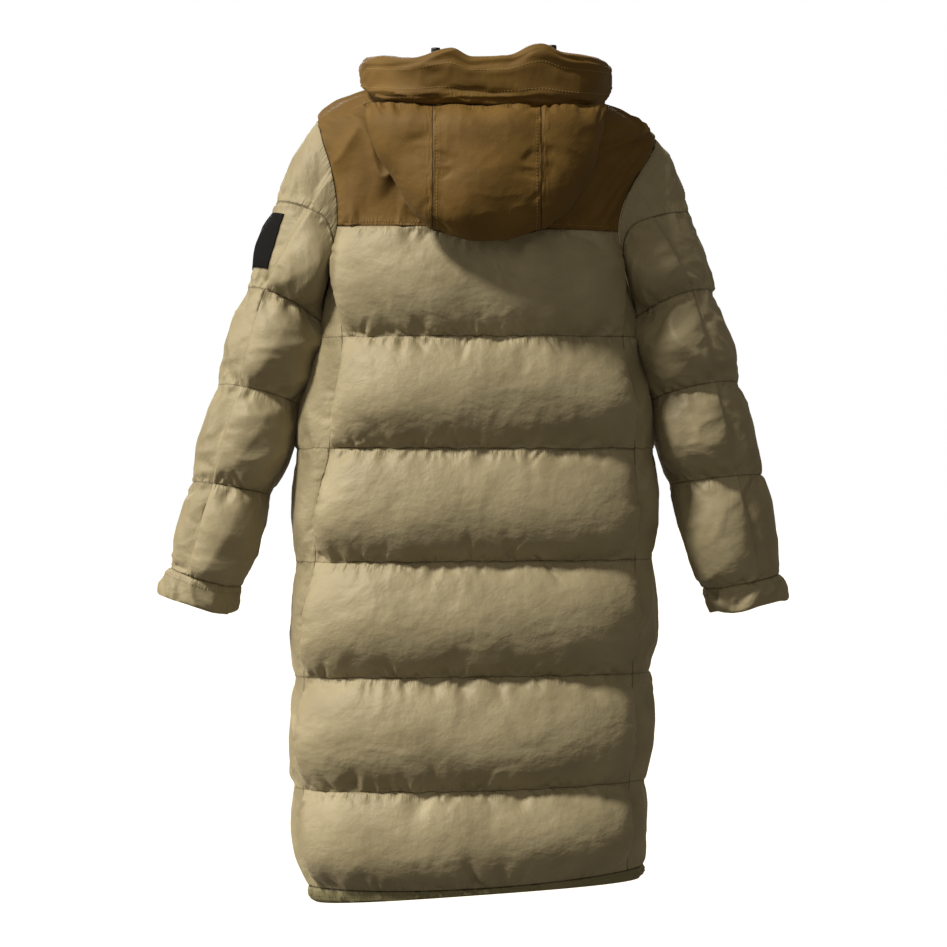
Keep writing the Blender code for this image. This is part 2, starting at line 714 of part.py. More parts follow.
def peg(radius, length, centre, sides=12):
    """A round bar along X."""
    bpy.ops.mesh.primitive_cylinder_add(
        vertices=sides, radius=radius, depth=length, location=centre, rotation=(0, math.pi / 2, 0)
    )
    return bpy.context.object


def combine(target, other, operation):
    """Joins or cuts another object into the target and removes it."""
    modifier = target.modifiers.new(operation.lower(), "BOOLEAN")
    modifier.operation = operation
    modifier.object = other
    bpy.context.view_layer.objects.active = target
    bpy.ops.object.modifier_apply(modifier=modifier.name)
    bpy.data.objects.remove(other, do_unlink=True)


def keep(made, name, finish):
    """Names a built object and puts it in the coat's collection."""
    made.name = name
    made.data.name = name
    made.data.materials.append(finish)
    for collection in list(made.users_collection):
        collection.objects.unlink(made)
    COAT.objects.link(made)


def slider_and_pull(metal):
    """The zip's slider on the tape, just under the collar's top, and its pull tab on a crosswise pin."""
    line = zip_line()
    width, thick, tall = SLIDER_SIZE
    x, z = line[0, 0], line[0, 2] - SLIDER_DOWN
    face = np.interp(tall / 2 - z, -line[:, 2], line[:, 1]) - TAPE_OUTSIDE - SLIDER_CLEAR - thick
    body = block(SLIDER_SIZE, (x, face + thick / 2, z))
    pin = (x, face - PIN_OUT, z + tall / 4)
    for way in (1, -1):
        lug_at = (x + way * LUG_SPREAD, face + SUNK - LUG_SIZE[1] / 2, pin[2])
        combine(body, block(LUG_SIZE, lug_at), "UNION")
    combine(body, peg(PIN_RADIUS, 2 * LUG_SPREAD, pin), "UNION")
    keep(body, "zip_slider", metal)
    neck_width, neck_long = TAB_NECK
    grip_width, grip_long = TAB_GRIP
    tab = peg(EYE_RADIUS, neck_width, pin, 20)
    combine(tab, block((neck_width, TAB_THICK, neck_long), (x, pin[1], pin[2] - neck_long / 2)), "UNION")
    grip_at = (x, pin[1], pin[2] - neck_long - grip_long / 2 + SUNK)
    combine(tab, block((grip_width, TAB_THICK, grip_long), grip_at), "UNION")
    combine(tab, peg(EYE_HOLE_RADIUS, 2 * neck_width, pin, 16), "DIFFERENCE")
    keep(tab, "zip_pull", metal)


# ---------------------------------------------------------------- hood

HOOD_TOP = -0.0060
HOOD_TILT = 0.05
HOOD_BOTTOM = -0.180
HOOD_BOTTOM_BEND = 0.010
HOOD_LEFT_SEAM = 0.0535
HOOD_RIGHT_SEAM = -0.0885
HOOD_LOFT = 0.004
HOOD_OUTER_ARCH = 0.012
HOOD_UNDER_ARCH = 0.003
HOOD_UNDER_LOFT = 0.25
HOOD_SIDE_LEAN = 0.25
HOOD_END_ROUND = 2.4
HOOD_SEAM_START = 0.0005
HOOD_SIDE_START = 0.001
HOOD_SIDE_END = 0.985
HOOD_SIDE_CLOSE_ROWS = 1.6
HOOD_GRID = (25, 9)
HOOD_SIDE_GRID = (11, 13)

# The hood's pouch by depth (0 its mouth, 1 its bottom): the middle between its two layers, half the way
# between them before the bottom rounds it off, and how far each side reaches beyond its seam.
HOOD = table(
    "depth middle half left_reach right_reach",
    [
        (0.00, 0.1365, 0.0240, 0.088, 0.086),
        (0.06, 0.1470, 0.0335, 0.085, 0.084),
        (0.16, 0.1540, 0.0385, 0.080, 0.080),
        (0.34, 0.1590, 0.0405, 0.069, 0.072),
        (0.64, 0.1645, 0.0455, 0.043, 0.052),
        (0.82, 0.1655, 0.0500, 0.026, 0.034),
        (0.93, 0.1640, 0.0520, 0.012, 0.014),
        (1.00, 0.1600, 0.0520, 0.002, 0.002),
    ],
)


def hood_layer(x, way, depth):
    """Point of the pouch's outer (way 1), middle (0) or under (way -1) layer, between or beyond its seams."""
    x, way, depth = np.broadcast_arrays(x, way, np.clip(depth, 0, 1))
    middle = (HOOD_LEFT_SEAM + HOOD_RIGHT_SEAM) / 2
    off = np.clip((x - middle) / (HOOD_LEFT_SEAM - middle), -1, 1) ** 2
    arch = HOOD_UNDER_ARCH + (HOOD_OUTER_ARCH - HOOD_UNDER_ARCH) * (way + 1) / 2
    half = along(HOOD, "half", depth) * np.sqrt(1 - depth**HOOD_END_ROUND)
    y = along(HOOD, "middle", depth) + way * half - arch * off
    z = HOOD_TOP + (HOOD_BOTTOM - HOOD_TOP) * depth + HOOD_BOTTOM_BEND * off * depth**4
    return np.stack([x, y, z + HOOD_TILT * (x - middle) * (1 - depth)], -1)


def hood_strip(share, run):
    """The centre panel: down the under layer (run -1 to 0), round the bottom and up the outer one (0 to 1)."""
    x = HOOD_LEFT_SEAM - GAP + (HOOD_RIGHT_SEAM - HOOD_LEFT_SEAM + 2 * GAP) * share
    return hood_layer(x, np.sign(run), 1 - run**2)


def hood_side(side):
    """A side panel's surface: across from the outer seam (0) round the side to the under seam (1)."""
    seam = HOOD_LEFT_SEAM if side == 1 else HOOD_RIGHT_SEAM
    column = "left_reach" if side == 1 else "right_reach"

    def point(across, depth):
        out = along(HOOD, column, depth) * np.sin(np.pi * across)
        found = hood_layer(seam + side * (GAP + out), np.cos(np.pi * across), depth)
        found[..., 1] -= HOOD_SIDE_LEAN * out
        return found

    return point


def hood(brown):
    """The hood lying on the back: a centre panel from its mouth under and up again, and two side panels."""
    rows, columns = HOOD_GRID
    share, run = np.broadcast_arrays(np.linspace(0, 1, columns), np.linspace(-1, 1, rows)[:, None])
    base = hood_strip(share, run)
    out = normals(hood_strip, share, run, 1)
    flat = np.where(run > 0, 1, HOOD_UNDER_LOFT)
    loft = HOOD_LOFT * (pinch(share, HOOD_SHARPNESS) * flat)[..., None]
    wall("hood_centre", base + out * (OUTSIDE + loft), (base - out * INSIDE)[::2], brown)
    for side, name in ((1, "left"), (-1, "right")):
        surface = hood_side(side)
        rows, columns = HOOD_SIDE_GRID
        across = np.linspace(HOOD_SEAM_START, 1 - HOOD_SEAM_START, columns)
        share = np.linspace(HOOD_SIDE_START, 1, rows)[:, None]
        depth = HOOD_SIDE_END * (1 - (1 - share) ** HOOD_SIDE_CLOSE_ROWS)
        across, depth = np.broadcast_arrays(across, depth)
        base = surface(across, depth)
        out = normals(surface, across, depth, side)
        flat = np.where(across < 0.5, 1, HOOD_UNDER_LOFT)
        loft = HOOD_LOFT * (pinch(across, HOOD_SIDE_SHARPNESS) * (1 - depth**3) * flat)
        wall(f"hood_side_{name}", base + out * (OUTSIDE + loft[..., None]), (base - out * INSIDE)[::2], brown)


# The turned-back brim round the neck: turn is its angle as the body's, with its edges and thickness.
BRIM = table(
    "turn bottom top thickness",
    [
        (-76, -0.010, 0.036, 0.020),
        (-50, 0.010, 0.052, 0.026),
        (-15, 0.034, 0.066, 0.031),
        (5, 0.033, 0.067, 0.033),
        (20, 0.018, 0.066, 0.034),
        (35, 0.007, 0.064, 0.036),
        (55, 0.003, 0.058, 0.037),
        (73, 0.002, 0.069, 0.035),
        (83, 0.001, 0.057, 0.034),
        (100, -0.001, 0.059, 0.034),
        (116, -0.004, 0.075, 0.036),
        (126, -0.005, 0.064, 0.036),
        (145, -0.006, 0.061, 0.036),
        (160, 0.001, 0.061, 0.036),
        (175, 0.020, 0.061, 0.033),
        (200, 0.021, 0.059, 0.031),
        (230, 0.004, 0.050, 0.026),
        (256, -0.012, 0.034, 0.020),
    ],
)
BRIM_HALF_WIDTH = 0.1515
BRIM_BACK = 0.150
BRIM_FRONT = 0.122
BRIM_CENTRE_X = -0.0165
BRIM_SQUARENESS = 3.0
BRIM_ROWS = 37
BRIM_COLUMNS = 10
BRIM_ROUNDNESS = 0.6
BRIM_FIRST = 0.12
BRIM_CLOSE = 4
BRIM_CLOSE_THICK = 0.5
BRIM_CLOSE_TALL = 0.35


def brim_path(turn):
    """Middle of the brim's roll in plan."""
    cosine, sine = np.cos(np.radians(turn)), np.sin(np.radians(turn))
    depth = np.where(sine > 0, BRIM_BACK, BRIM_FRONT)
    power = BRIM_SQUARENESS
    reach = (np.abs(cosine / BRIM_HALF_WIDTH) ** power + np.abs(sine / depth) ** power) ** (-1 / power)
    return np.stack([BRIM_CENTRE_X + reach * cosine, reach * sine], -1)


def brim(brown):
    """The hood's front edge, rolled back: one thick roll with rounded ends."""
    turn = np.linspace(BRIM["turn"][0], BRIM["turn"][-1], BRIM_ROWS)
    around = np.radians(np.arange(BRIM_COLUMNS) * 360 / BRIM_COLUMNS)
    path = brim_path(turn)
    heading = np.gradient(path, axis=0)
    heading /= np.linalg.norm(heading, axis=1)[:, None]
    outward = np.stack([heading[:, 1], -heading[:, 0]], -1)
    bottom, top = along(BRIM, "bottom", turn), along(BRIM, "top", turn)
    close = np.minimum(1, np.sin(np.linspace(BRIM_FIRST, np.pi - BRIM_FIRST, BRIM_ROWS)) * BRIM_CLOSE)
    half_thick = along(BRIM, "thickness", turn) / 2 * close**BRIM_CLOSE_THICK
    half_tall = (top - bottom) / 2 * close**BRIM_CLOSE_TALL
    thick = np.sign(np.cos(around)) * np.abs(np.cos(around)) ** BRIM_ROUNDNESS
    tall = np.sign(np.sin(around)) * np.abs(np.sin(around)) ** BRIM_ROUNDNESS
    xy = path[:, None] + outward[:, None] * (half_thick[:, None] * thick)[..., None]
    z = ((top + bottom) / 2)[:, None] + half_tall[:, None] * tall
    points = np.concatenate([xy, z[..., None]], -1)
    rows, columns = z.shape
    faces = skin_faces(rows, columns, 0, True, False)
    ends = [points[0].mean(0), points[-1].mean(0)]
    for j in range(columns):
        following = (j + 1) % columns
        faces += [(rows * columns, following, j)]
        faces += [(rows * columns + 1, (rows - 1) * columns + j, (rows - 1) * columns + following)]
    add_mesh("hood_brim", np.concatenate([points.reshape(-1, 3), ends]), faces, brown)


# Each lock's side, x, y, bottom and top.
CORD_LOCKS = (("left", 0.050, 0.1185, 0.050, 0.073), ("right", -0.104, 0.1130, 0.050, 0.077))
CORD_LOCK_RADIUS = 0.0062
CORD_LOCK_ROUNDING = 0.0018
CORD_LOCK_SIDES = 14


def cord_locks(black):
    """Two round-ended barrels standing behind the brim, one on each side."""
    for name, x, y, bottom, top in CORD_LOCKS:
        bpy.ops.mesh.primitive_cylinder_add(
            vertices=CORD_LOCK_SIDES,
            radius=CORD_LOCK_RADIUS,
            depth=top - bottom,
            location=(x, y, (top + bottom) / 2),
        )
        made = bpy.context.object
        bevel = made.modifiers.new("rounded ends", "BEVEL")
        bevel.width = CORD_LOCK_ROUNDING
        bevel.segments = 2
        bevel.limit_method = "ANGLE"
        keep(made, f"cord_lock_{name}", black)


def main():
    clear_scene()
    khaki = material("khaki nylon", (0.33, 0.28, 0.16), 0.5)
    brown = material("brown nylon", (0.16, 0.09, 0.03), 0.5)
    olive = material("olive nylon", (0.09, 0.085, 0.05), 0.6)
    black = material("black woven patch", (0.01, 0.01, 0.012), 0.7)
    plastic = material("black plastic", (0.012, 0.012, 0.012), 0.4)
    metal = material("dark zip metal", (0.08, 0.07, 0.06), 0.35, 0.9)
    body_panels(khaki)
    side_panels(khaki)
    yokes(brown)
    hem_band(olive)
    outer, out = sleeves(khaki)
    sleeve_patch(outer, out, black)
    cuffs(khaki)
    collar(brown)
    zip_tape(plastic)
    slider_and_pull(metal)
    hood(brown)
    brim(brown)
    cord_locks(plastic)


main()
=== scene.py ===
import math

import bmesh
import bpy
import numpy as np
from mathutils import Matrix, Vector


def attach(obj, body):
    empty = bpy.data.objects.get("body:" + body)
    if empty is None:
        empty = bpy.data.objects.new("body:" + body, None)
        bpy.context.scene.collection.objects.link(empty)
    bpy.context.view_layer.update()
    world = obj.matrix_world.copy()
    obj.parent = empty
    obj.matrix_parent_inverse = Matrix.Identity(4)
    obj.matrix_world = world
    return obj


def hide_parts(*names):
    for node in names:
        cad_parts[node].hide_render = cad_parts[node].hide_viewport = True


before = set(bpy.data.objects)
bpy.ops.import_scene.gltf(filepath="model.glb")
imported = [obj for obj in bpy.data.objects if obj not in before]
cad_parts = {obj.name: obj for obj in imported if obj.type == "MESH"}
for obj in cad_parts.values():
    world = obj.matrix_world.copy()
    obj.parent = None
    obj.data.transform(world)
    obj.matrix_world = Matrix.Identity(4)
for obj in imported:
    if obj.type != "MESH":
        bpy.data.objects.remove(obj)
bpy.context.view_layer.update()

# ================================================================ camera and studio
# A level camera behind the coat, six metres off, with a long lens. The key lamp is high on the wearer's left
# and a second one lights the sleeve there. Weak wide lamps are in front, behind and low down, over a pale
# floor that the coat hangs clear of.

CAMERA_AT = (0.0, 6.0, -0.4907)
CAMERA_LENS = 168.94
FLOOR_HEIGHT = -1.30
FLOOR_HALF = 60.0
AMBIENT = 0.17


def linear(colour):
    """Scene-linear red, green, blue and alpha of an sRGB hex colour, by the sRGB curve."""
    found = np.array([int(colour[i : i + 2], 16) for i in (1, 3, 5)]) / 255
    found = np.where(found <= 0.04045, found / 12.92, ((found + 0.055) / 1.055) ** 2.4)
    return (*found.tolist(), 1.0)


def add(tree, kind, inputs=None, **settings):
    """Adds one node with its own settings; inputs are its sockets' values, or the sockets that feed them."""
    made = tree.nodes.new(kind)
    for name, value in settings.items():
        setattr(made, name, value)
    for name, value in (inputs or {}).items():
        if isinstance(value, bpy.types.NodeSocket):
            tree.links.new(value, made.inputs[name])
        else:
            made.inputs[name].default_value = value
    return made


def finish_named(name, base="#808080", roughness=0.5, **sockets):
    """A new material with one Principled shader; sockets are the shader's other values by name."""
    made = bpy.data.materials.new(name)
    made.use_nodes = True
    shader = made.node_tree.nodes["Principled BSDF"]
    shader.inputs["Base Color"].default_value = linear(base)
    shader.inputs["Roughness"].default_value = roughness
    for socket, value in sockets.items():
        shader.inputs[socket.replace("_", " ")].default_value = value
    return made, made.node_tree, shader


def sun(name, toward, strength, spread, colour):
    """A far lamp in a direction from the coat, as wide across as its spread in degrees."""
    light = bpy.data.lights.new(name, "SUN")
    light.energy = strength
    light.angle = math.radians(spread)
    light.color = linear(colour)[:3]
    made = bpy.data.objects.new(name, light)
    made.rotation_euler = (-Vector(toward)).to_track_quat("-Z", "Y").to_euler()
    bpy.context.scene.collection.objects.link(made)


camera = bpy.data.objects.new("camera", bpy.data.cameras.new("camera"))
camera.data.lens = CAMERA_LENS
camera.data.clip_end = 100
camera.location = CAMERA_AT
camera.rotation_euler = (math.pi / 2, 0, math.pi)
bpy.context.scene.collection.objects.link(camera)
bpy.context.scene.camera = camera

sun("key", (0.55, 0.38, 0.74), 4.1, 9.0, "#FFF6E8")
sun("side", (0.94, -0.04, 0.34), 1.5, 16.0, "#FFF6E8")
sun("front", (0.10, -0.92, 0.38), 1.3, 30.0, "#F6F8FF")
sun("low", (0.62, 0.72, -0.25), 0.45, 30.0, "#FFF0DA")
sun("behind", (-0.30, 0.93, 0.12), 0.30, 60.0, "#FFF3E0")

world = bpy.data.worlds.new("studio")
world.use_nodes = True
sky = world.node_tree
# the walls are white to look at, but they throw little light back on the coat, as black flags would see to
seen = add(sky, "ShaderNodeLightPath").outputs["Is Camera Ray"]
bright = add(sky, "ShaderNodeMapRange", {"Value": seen, "To Min": AMBIENT, "To Max": 1.0}).outputs["Result"]
walls = {0: seen, 6: linear("#FFF1DC"), 7: linear("#FFFFFF")}
tint = add(sky, "ShaderNodeMix", walls, data_type="RGBA").outputs[2]
sky.links.new(tint, sky.nodes["Background"].inputs["Color"])
sky.links.new(bright, sky.nodes["Background"].inputs["Strength"])
bpy.context.scene.world = world

floor_mesh = bpy.data.meshes.new("floor")
corners = [(x * FLOOR_HALF, y * FLOOR_HALF, FLOOR_HEIGHT) for x, y in ((-1, -1), (1, -1), (1, 1), (-1, 1))]
floor_mesh.from_pydata(corners, [], [(0, 1, 2, 3)])
floor = bpy.data.objects.new("floor", floor_mesh)
# Uncoated paper: even and matt, so it shows a soft shadow and no gloss.
paper, _, _ = finish_named("matt studio paper", "#F3F2EF", 0.9)
floor_mesh.materials.append(paper)
bpy.context.scene.collection.objects.link(floor)
floor.visible_diffuse = False
floor.visible_glossy = False
bpy.context.scene.view_settings.view_transform = "Standard"

# ================================================================ back panel
# The back of the coat is one piece of khaki downproof nylon, quilted across into six tiers over down. The
# quilt lines are sewn right through, so the cloth swells between them and puckers where they hold it.

# the slit between two pieces, how far a wall stands to either side of its seam level, and the grid's step
GAP = 0.0003
INSIDE = 0.0015
OUTSIDE = 0.0010
CLOTH_STEP = 0.0026


def table(columns, rows):
    """The rows as one array for each named column."""
    return dict(zip(columns.split(), np.array(rows, float).T))


BODY = table(
    "height centre_x half_width back front squareness tilt bend",
    [
        (0.026, -0.0185, 0.0820, 0.0740, 0.0780, 2.10, 0.060, 0.0030),
        (0.017, -0.0185, 0.1250, 0.0800, 0.0840, 2.10, 0.060, 0.0030),
        (0.007, -0.0185, 0.1640, 0.0860, 0.0900, 2.20, 0.060, 0.0030),
        (-0.008, -0.0185, 0.2010, 0.0910, 0.0950, 2.30, 0.060, 0.0030),
        (-0.020, -0.0185, 0.2185, 0.0945, 0.0985, 2.35, 0.059, 0.0030),
        (-0.034, -0.0180, 0.2265, 0.0980, 0.1020, 2.40, 0.057, 0.0025),
        (-0.055, -0.0165, 0.2260, 0.1020, 0.1050, 2.45, 0.052, 0.0020),
        (-0.085, -0.0130, 0.2190, 0.1060, 0.1085, 2.50, 0.043, 0.0010),
        (-0.120, -0.0090, 0.2110, 0.1100, 0.1110, 2.50, 0.032, 0.0000),
        (-0.164, -0.0060, 0.2050, 0.1120, 0.1130, 2.50, 0.021, 0.0000),
        (-0.220, -0.0060, 0.2040, 0.1130, 0.1130, 2.50, 0.010, 0.0000),
        (-0.308, -0.0070, 0.2130, 0.1140, 0.1120, 2.50, 0.000, 0.0000),
        (-0.360, -0.0055, 0.2215, 0.1150, 0.1120, 2.50, 0.000, 0.0000),
        (-0.410, -0.0045, 0.2335, 0.1160, 0.1120, 2.50, 0.000, 0.0000),
        (-0.457, -0.0015, 0.2385, 0.1170, 0.1120, 2.50, 0.000, 0.0000),
        (-0.607, -0.0010, 0.2385, 0.1190, 0.1140, 2.50, -0.008, 0.0000),
        (-0.760, 0.0015, 0.2370, 0.1200, 0.1160, 2.50, -0.012, 0.0000),
        (-0.911, 0.0055, 0.2350, 0.1220, 0.1180, 2.50, -0.024, 0.0045),
        (-0.980, 0.0040, 0.2310, 0.1220, 0.1180, 2.50, -0.042, 0.0080),
        (-1.040, -0.0030, 0.2240, 0.1200, 0.1160, 2.50, -0.060, 0.0100),
        (-1.049, -0.0050, 0.2180, 0.1190, 0.1150, 2.50, -0.072, -0.0010),
    ],
)
TIERS = table(
    "top bottom back_loft front_loft side_loft",
    [
        (-0.164, -0.308, 0.026, 0.022, 0.006),
        (-0.308, -0.457, 0.029, 0.026, 0.007),
        (-0.457, -0.607, 0.031, 0.028, 0.009),
        (-0.607, -0.760, 0.031, 0.028, 0.010),
        (-0.760, -0.911, 0.031, 0.028, 0.011),
        (-0.911, -1.040, 0.028, 0.026, 0.009),
    ],
)
YOKE_SEAM = TIERS["top"][0]
HEM_SEAM = TIERS["bottom"][-1]
HEM_EDGE = -1.049
ARMHOLE_TOP = -0.026
ARMHOLE_BOTTOM = -0.262
ARMHOLE_HALF_WIDTH = 0.068
SHOULDER_SEAM_Y = -0.008
SIDE_PANEL_FRONT_Y = -0.068
SIDE_BACK = {
    1: table(
        "height y",
        [
            (-0.200, 0.052),
            (-0.308, 0.073),
            (-0.360, 0.0785),
            (-0.457, 0.082),
            (-0.530, 0.074),
            (-0.607, 0.069),
            (-0.680, 0.060),
            (-0.760, 0.053),
            (-0.911, 0.056),
        ],
    ),
    -1: table("height y", [(-0.200, 0.056), (-0.360, 0.067)]),
}
# puckers at a seam, from coarse to fine: how far apart they are, how far they run out and how deep they are
TOP_PUCKERS = ((0.036, 0.022, 0.0085), (0.015, 0.014, 0.0080), (0.008, 0.008, 0.0050))
BOTTOM_PUCKERS = ((0.034, 0.030, 0.0090), (0.014, 0.020, 0.0080), (0.007, 0.010, 0.0048))
SIDE_PUCKERS = ((0.020, 0.022, 0.0034), (0.009, 0.012, 0.0020))
PUCKER_START = 0.0013
SEAM_HOLD = 0.0019
# the cloth that the puckers gather stands up beside a seam: how high, and how soon it falls away
TOP_GATHER = (0.0034, 0.014)
BOTTOM_GATHER = (0.0030, 0.018)
# noise over a whole tier: its height, its size and its step of the seed
TIER_LUMPS = ((0.0022, 0.080, 9), (0.0007, 0.030, 10), (0.0003, 0.013, 11))
TIER_FOLDS = ((0.0003, 0.030, 15),)
# a tier's form: its sine's skew and power, and its sag as a share of its fullness
TIER_SKEW = 1.03
BODY_ROUNDNESS = 0.70
SAG = 0.24
# how its fullness and that share change in soft clouds, in rows as above
FULLNESS_CHANGE = ((0.12, 0.110, 30),)
SAG_CHANGE = ((0.10, 0.030, 31),)
# a tier is full from this height, and a lower one keeps no less than this share of its fullness
FULL_HEIGHT = 0.12
LEAST_FULL = 0.1
# a quilt line's wander: how far, how long its waves are and how near a side seam still holds it
SEAM_WANDER = (0.0013, 0.014, 0.01)
# the long folds of a piece with little in it: how wide, and how near a side seam still holds them
DRAPE = (0.030, 0.006)
# metres of cloth down a tier for each metre of its height
CLOTH_DOWN = 1.1


def along(rows, column, at):
    """A column's value between its rows, found by the first column.

    Cubic pieces join the rows. Their slopes are harmonic means of the lines on either side, and level where
    those turn, so that the curve never overshoots.
    """
    keys = next(iter(rows.values()))
    order = np.argsort(keys)
    keys, values = keys[order], rows[column][order]
    secants = np.diff(values) / np.diff(keys)
    before, after = secants[:-1], secants[1:]
    turning = before * after <= 0
    middle = np.where(turning, 0, 2 * before * after / np.where(turning, 1, before + after))
    slopes = np.concatenate([secants[:1], middle, secants[-1:]])
    at = np.clip(at, keys[0], keys[-1])
    low = np.clip(np.searchsorted(keys, at) - 1, 0, len(keys) - 2)
    width = keys[low + 1] - keys[low]
    t = (at - keys[low]) / width
    start = (1 + 2 * t) * (1 - t) ** 2 * values[low] + t * (1 - t) ** 2 * width * slopes[low]
    end = t * t * (3 - 2 * t) * values[low + 1] - t * t * (1 - t) * width * slopes[low + 1]
    return start + end


def section_reach(angle, height):
    """Distance from the middle of a level section to its edge: a superellipse's radius at an angle."""
    depth = np.where(np.sin(angle) > 0, along(BODY, "back", height), along(BODY, "front", height))
    power = along(BODY, "squareness", height)
    across = np.abs(np.cos(angle)) / along(BODY, "half_width", height)
    return (across**power + (np.abs(np.sin(angle)) / depth) ** power) ** (-1 / power)


def torso(angle, height):
    """Seam-level point of the body: the section's edge at an angle, lifted with x and x squared."""
    angle, height = np.broadcast_arrays(np.radians(angle), height)
    reach = section_reach(angle, height)
    x = reach * np.cos(angle)
    bent = along(BODY, "bend", height) * (x / along(BODY, "half_width", height)) ** 2
    rise = along(BODY, "tilt", height) * x + bent
    return np.stack([along(BODY, "centre_x", height) + x, reach * np.sin(angle), height + rise], -1)


def side_angle(y, height):
    """The angle at which the left side of a section is at a given y, from the superellipse solved for x."""
    half_width = along(BODY, "half_width", height)
    depth = np.where(y > 0, along(BODY, "back", height), along(BODY, "front", height))
    power = along(BODY, "squareness", height)
    x = half_width * (1 - (np.abs(y) / depth) ** power) ** (1 / power)
    return np.degrees(np.arctan2(y, x))


def armhole_y(height, way):
    """y of the armhole's oval at a height, behind (way 1) or before (way -1) the shoulder seam."""
    middle, half = (ARMHOLE_TOP + ARMHOLE_BOTTOM) / 2, (ARMHOLE_TOP - ARMHOLE_BOTTOM) / 2
    share = np.clip((height - middle) / half, -1, 1)
    return SHOULDER_SEAM_Y + way * ARMHOLE_HALF_WIDTH * np.sqrt(1 - share**2)


def armhole_height(y):
    """Height of the armhole oval's lower edge at a y."""
    share = np.clip((y - SHOULDER_SEAM_Y) / ARMHOLE_HALF_WIDTH, -1, 1)
    middle = (ARMHOLE_TOP + ARMHOLE_BOTTOM) / 2
    return middle + (ARMHOLE_BOTTOM - middle) * np.sqrt(1 - share**2)


def side_back_y(side, height):
    """y of a side panel's back seam, 1 the wearer's left and -1 the right, from the armhole to the hem."""
    return along(SIDE_BACK[side], "y", height)


def back_edge(side, height):
    """Angle of the back's edge as on the left: the armhole above the side panel, that panel's seam below."""
    seam = side_back_y(side, height)
    y = np.where(height > armhole_height(SIDE_BACK[side]["y"][0]), armhole_y(height, 1), seam)
    return side_angle(np.where(height > ARMHOLE_TOP, SHOULDER_SEAM_Y, y) + GAP / 2, height)


def between(first, second):
    """Angles evenly spaced from one edge to another."""
    return lambda heights, share: first(heights) + (second(heights) - first(heights)) * share


BACK_ACROSS = between(lambda height: back_edge(1, height), lambda height: 180 - back_edge(-1, height))


def normals(surface, first, second, toward):
    """Unit normals of a surface of two parameters: the cross product of its two differences."""
    step = 1e-4
    by_first = surface(first + step, second) - surface(first - step, second)
    by_second = surface(first, second + step) - surface(first, second - step)
    found = np.cross(by_first, by_second)
    return toward * found / np.linalg.norm(found, axis=-1, keepdims=True)


def run_along(line):
    """Distance of each point of a line from its first: the running sum of its steps."""
    return np.concatenate([[0], np.cumsum(np.linalg.norm(np.diff(line, axis=0), axis=1))])


def freed(gap, reach):
    """How free cloth is of a seam a gap away: nought on it, and near one a few reaches off, exponentially."""
    return 1 - np.exp(-gap / reach)


def puff(t, power):
    """Share of a tier's fullness a share t of the way down: a sine skewed to be fullest below the middle."""
    return np.sin(np.pi * np.clip(t, 0, 1) ** TIER_SKEW) ** power


def pinch(share, sharpness):
    """Share of a tier's fullness across it: a rounded box that comes down to nothing at both side seams."""
    return np.sqrt(np.clip(1 - np.abs(2 * share - 1) ** sharpness, 0, 1))


def clouds(u, v, size, seed):
    """Smooth noise from -1 to 1: random values on a turned square lattice, joined by smoothsteps."""
    cells = 64
    values = np.random.default_rng(seed).uniform(-1, 1, (cells, cells))
    turn = 1.7 * seed
    a = (u * np.cos(turn) - v * np.sin(turn)) / size
    b = (u * np.sin(turn) + v * np.cos(turn)) / size
    i, j = np.floor(a).astype(int), np.floor(b).astype(int)
    s, t = a - i, b - j
    s, t = s * s * (3 - 2 * s), t * t * (3 - 2 * t)
    here, beyond = i % cells, (i + 1) % cells
    upper = values[here, j % cells] * (1 - s) + values[beyond, j % cells] * s
    lower = values[here, (j + 1) % cells] * (1 - s) + values[beyond, (j + 1) % cells] * s
    return upper * (1 - t) + lower * t


def folds(u, v, size, seed):
    """Soft creases: noise bent by two others, then folded at zero, so that its ridges wander like cloth's."""
    bent_u = u + 0.8 * size * clouds(u, v, 1.9 * size, seed + 1)
    bent_v = v + 0.8 * size * clouds(u, v, 1.9 * size, seed + 2)
    return 1 - 2.4 * np.abs(clouds(bent_u, bent_v, size, seed + 3)) ** 0.85


def heaped(noise, u, v, seed, rows):
    """A noise at several sizes laid over each other; a row is its height, its size and its seed's step."""
    return sum(height * noise(u, v, size, seed + step) for height, size, step in rows)


def puckers(place, gap, seed, spacing, reach, depth):
    """Short creases that run out from a seam.

    Each is a bell-shaped valley at a random place along the seam, with its own width, lean, length and
    depth. It opens within a few millimetres of the seam and fades with the square of the distance.
    """
    rng = np.random.default_rng(seed)
    count = max(2, int(np.ptp(place) / spacing))
    at = place.min() + (np.arange(count) + rng.uniform(0, 1, count)) * np.ptp(place) / count
    width = spacing * rng.uniform(0.13, 0.34, count)
    long = reach * rng.uniform(0.35, 1.35, count)
    lean = rng.normal(0, 0.42, count)
    deep = depth * rng.uniform(0.15, 1.0, count) ** 1.3
    total = np.zeros(np.broadcast(place, gap).shape)
    for n in range(count):
        off = (place - at[n] - lean[n] * gap) / (width[n] * (1 + 0.6 * gap / long[n]))
        total -= deep[n] * np.exp(-(off**2) - (gap / long[n]) ** 2)
    return total * freed(gap, PUCKER_START)


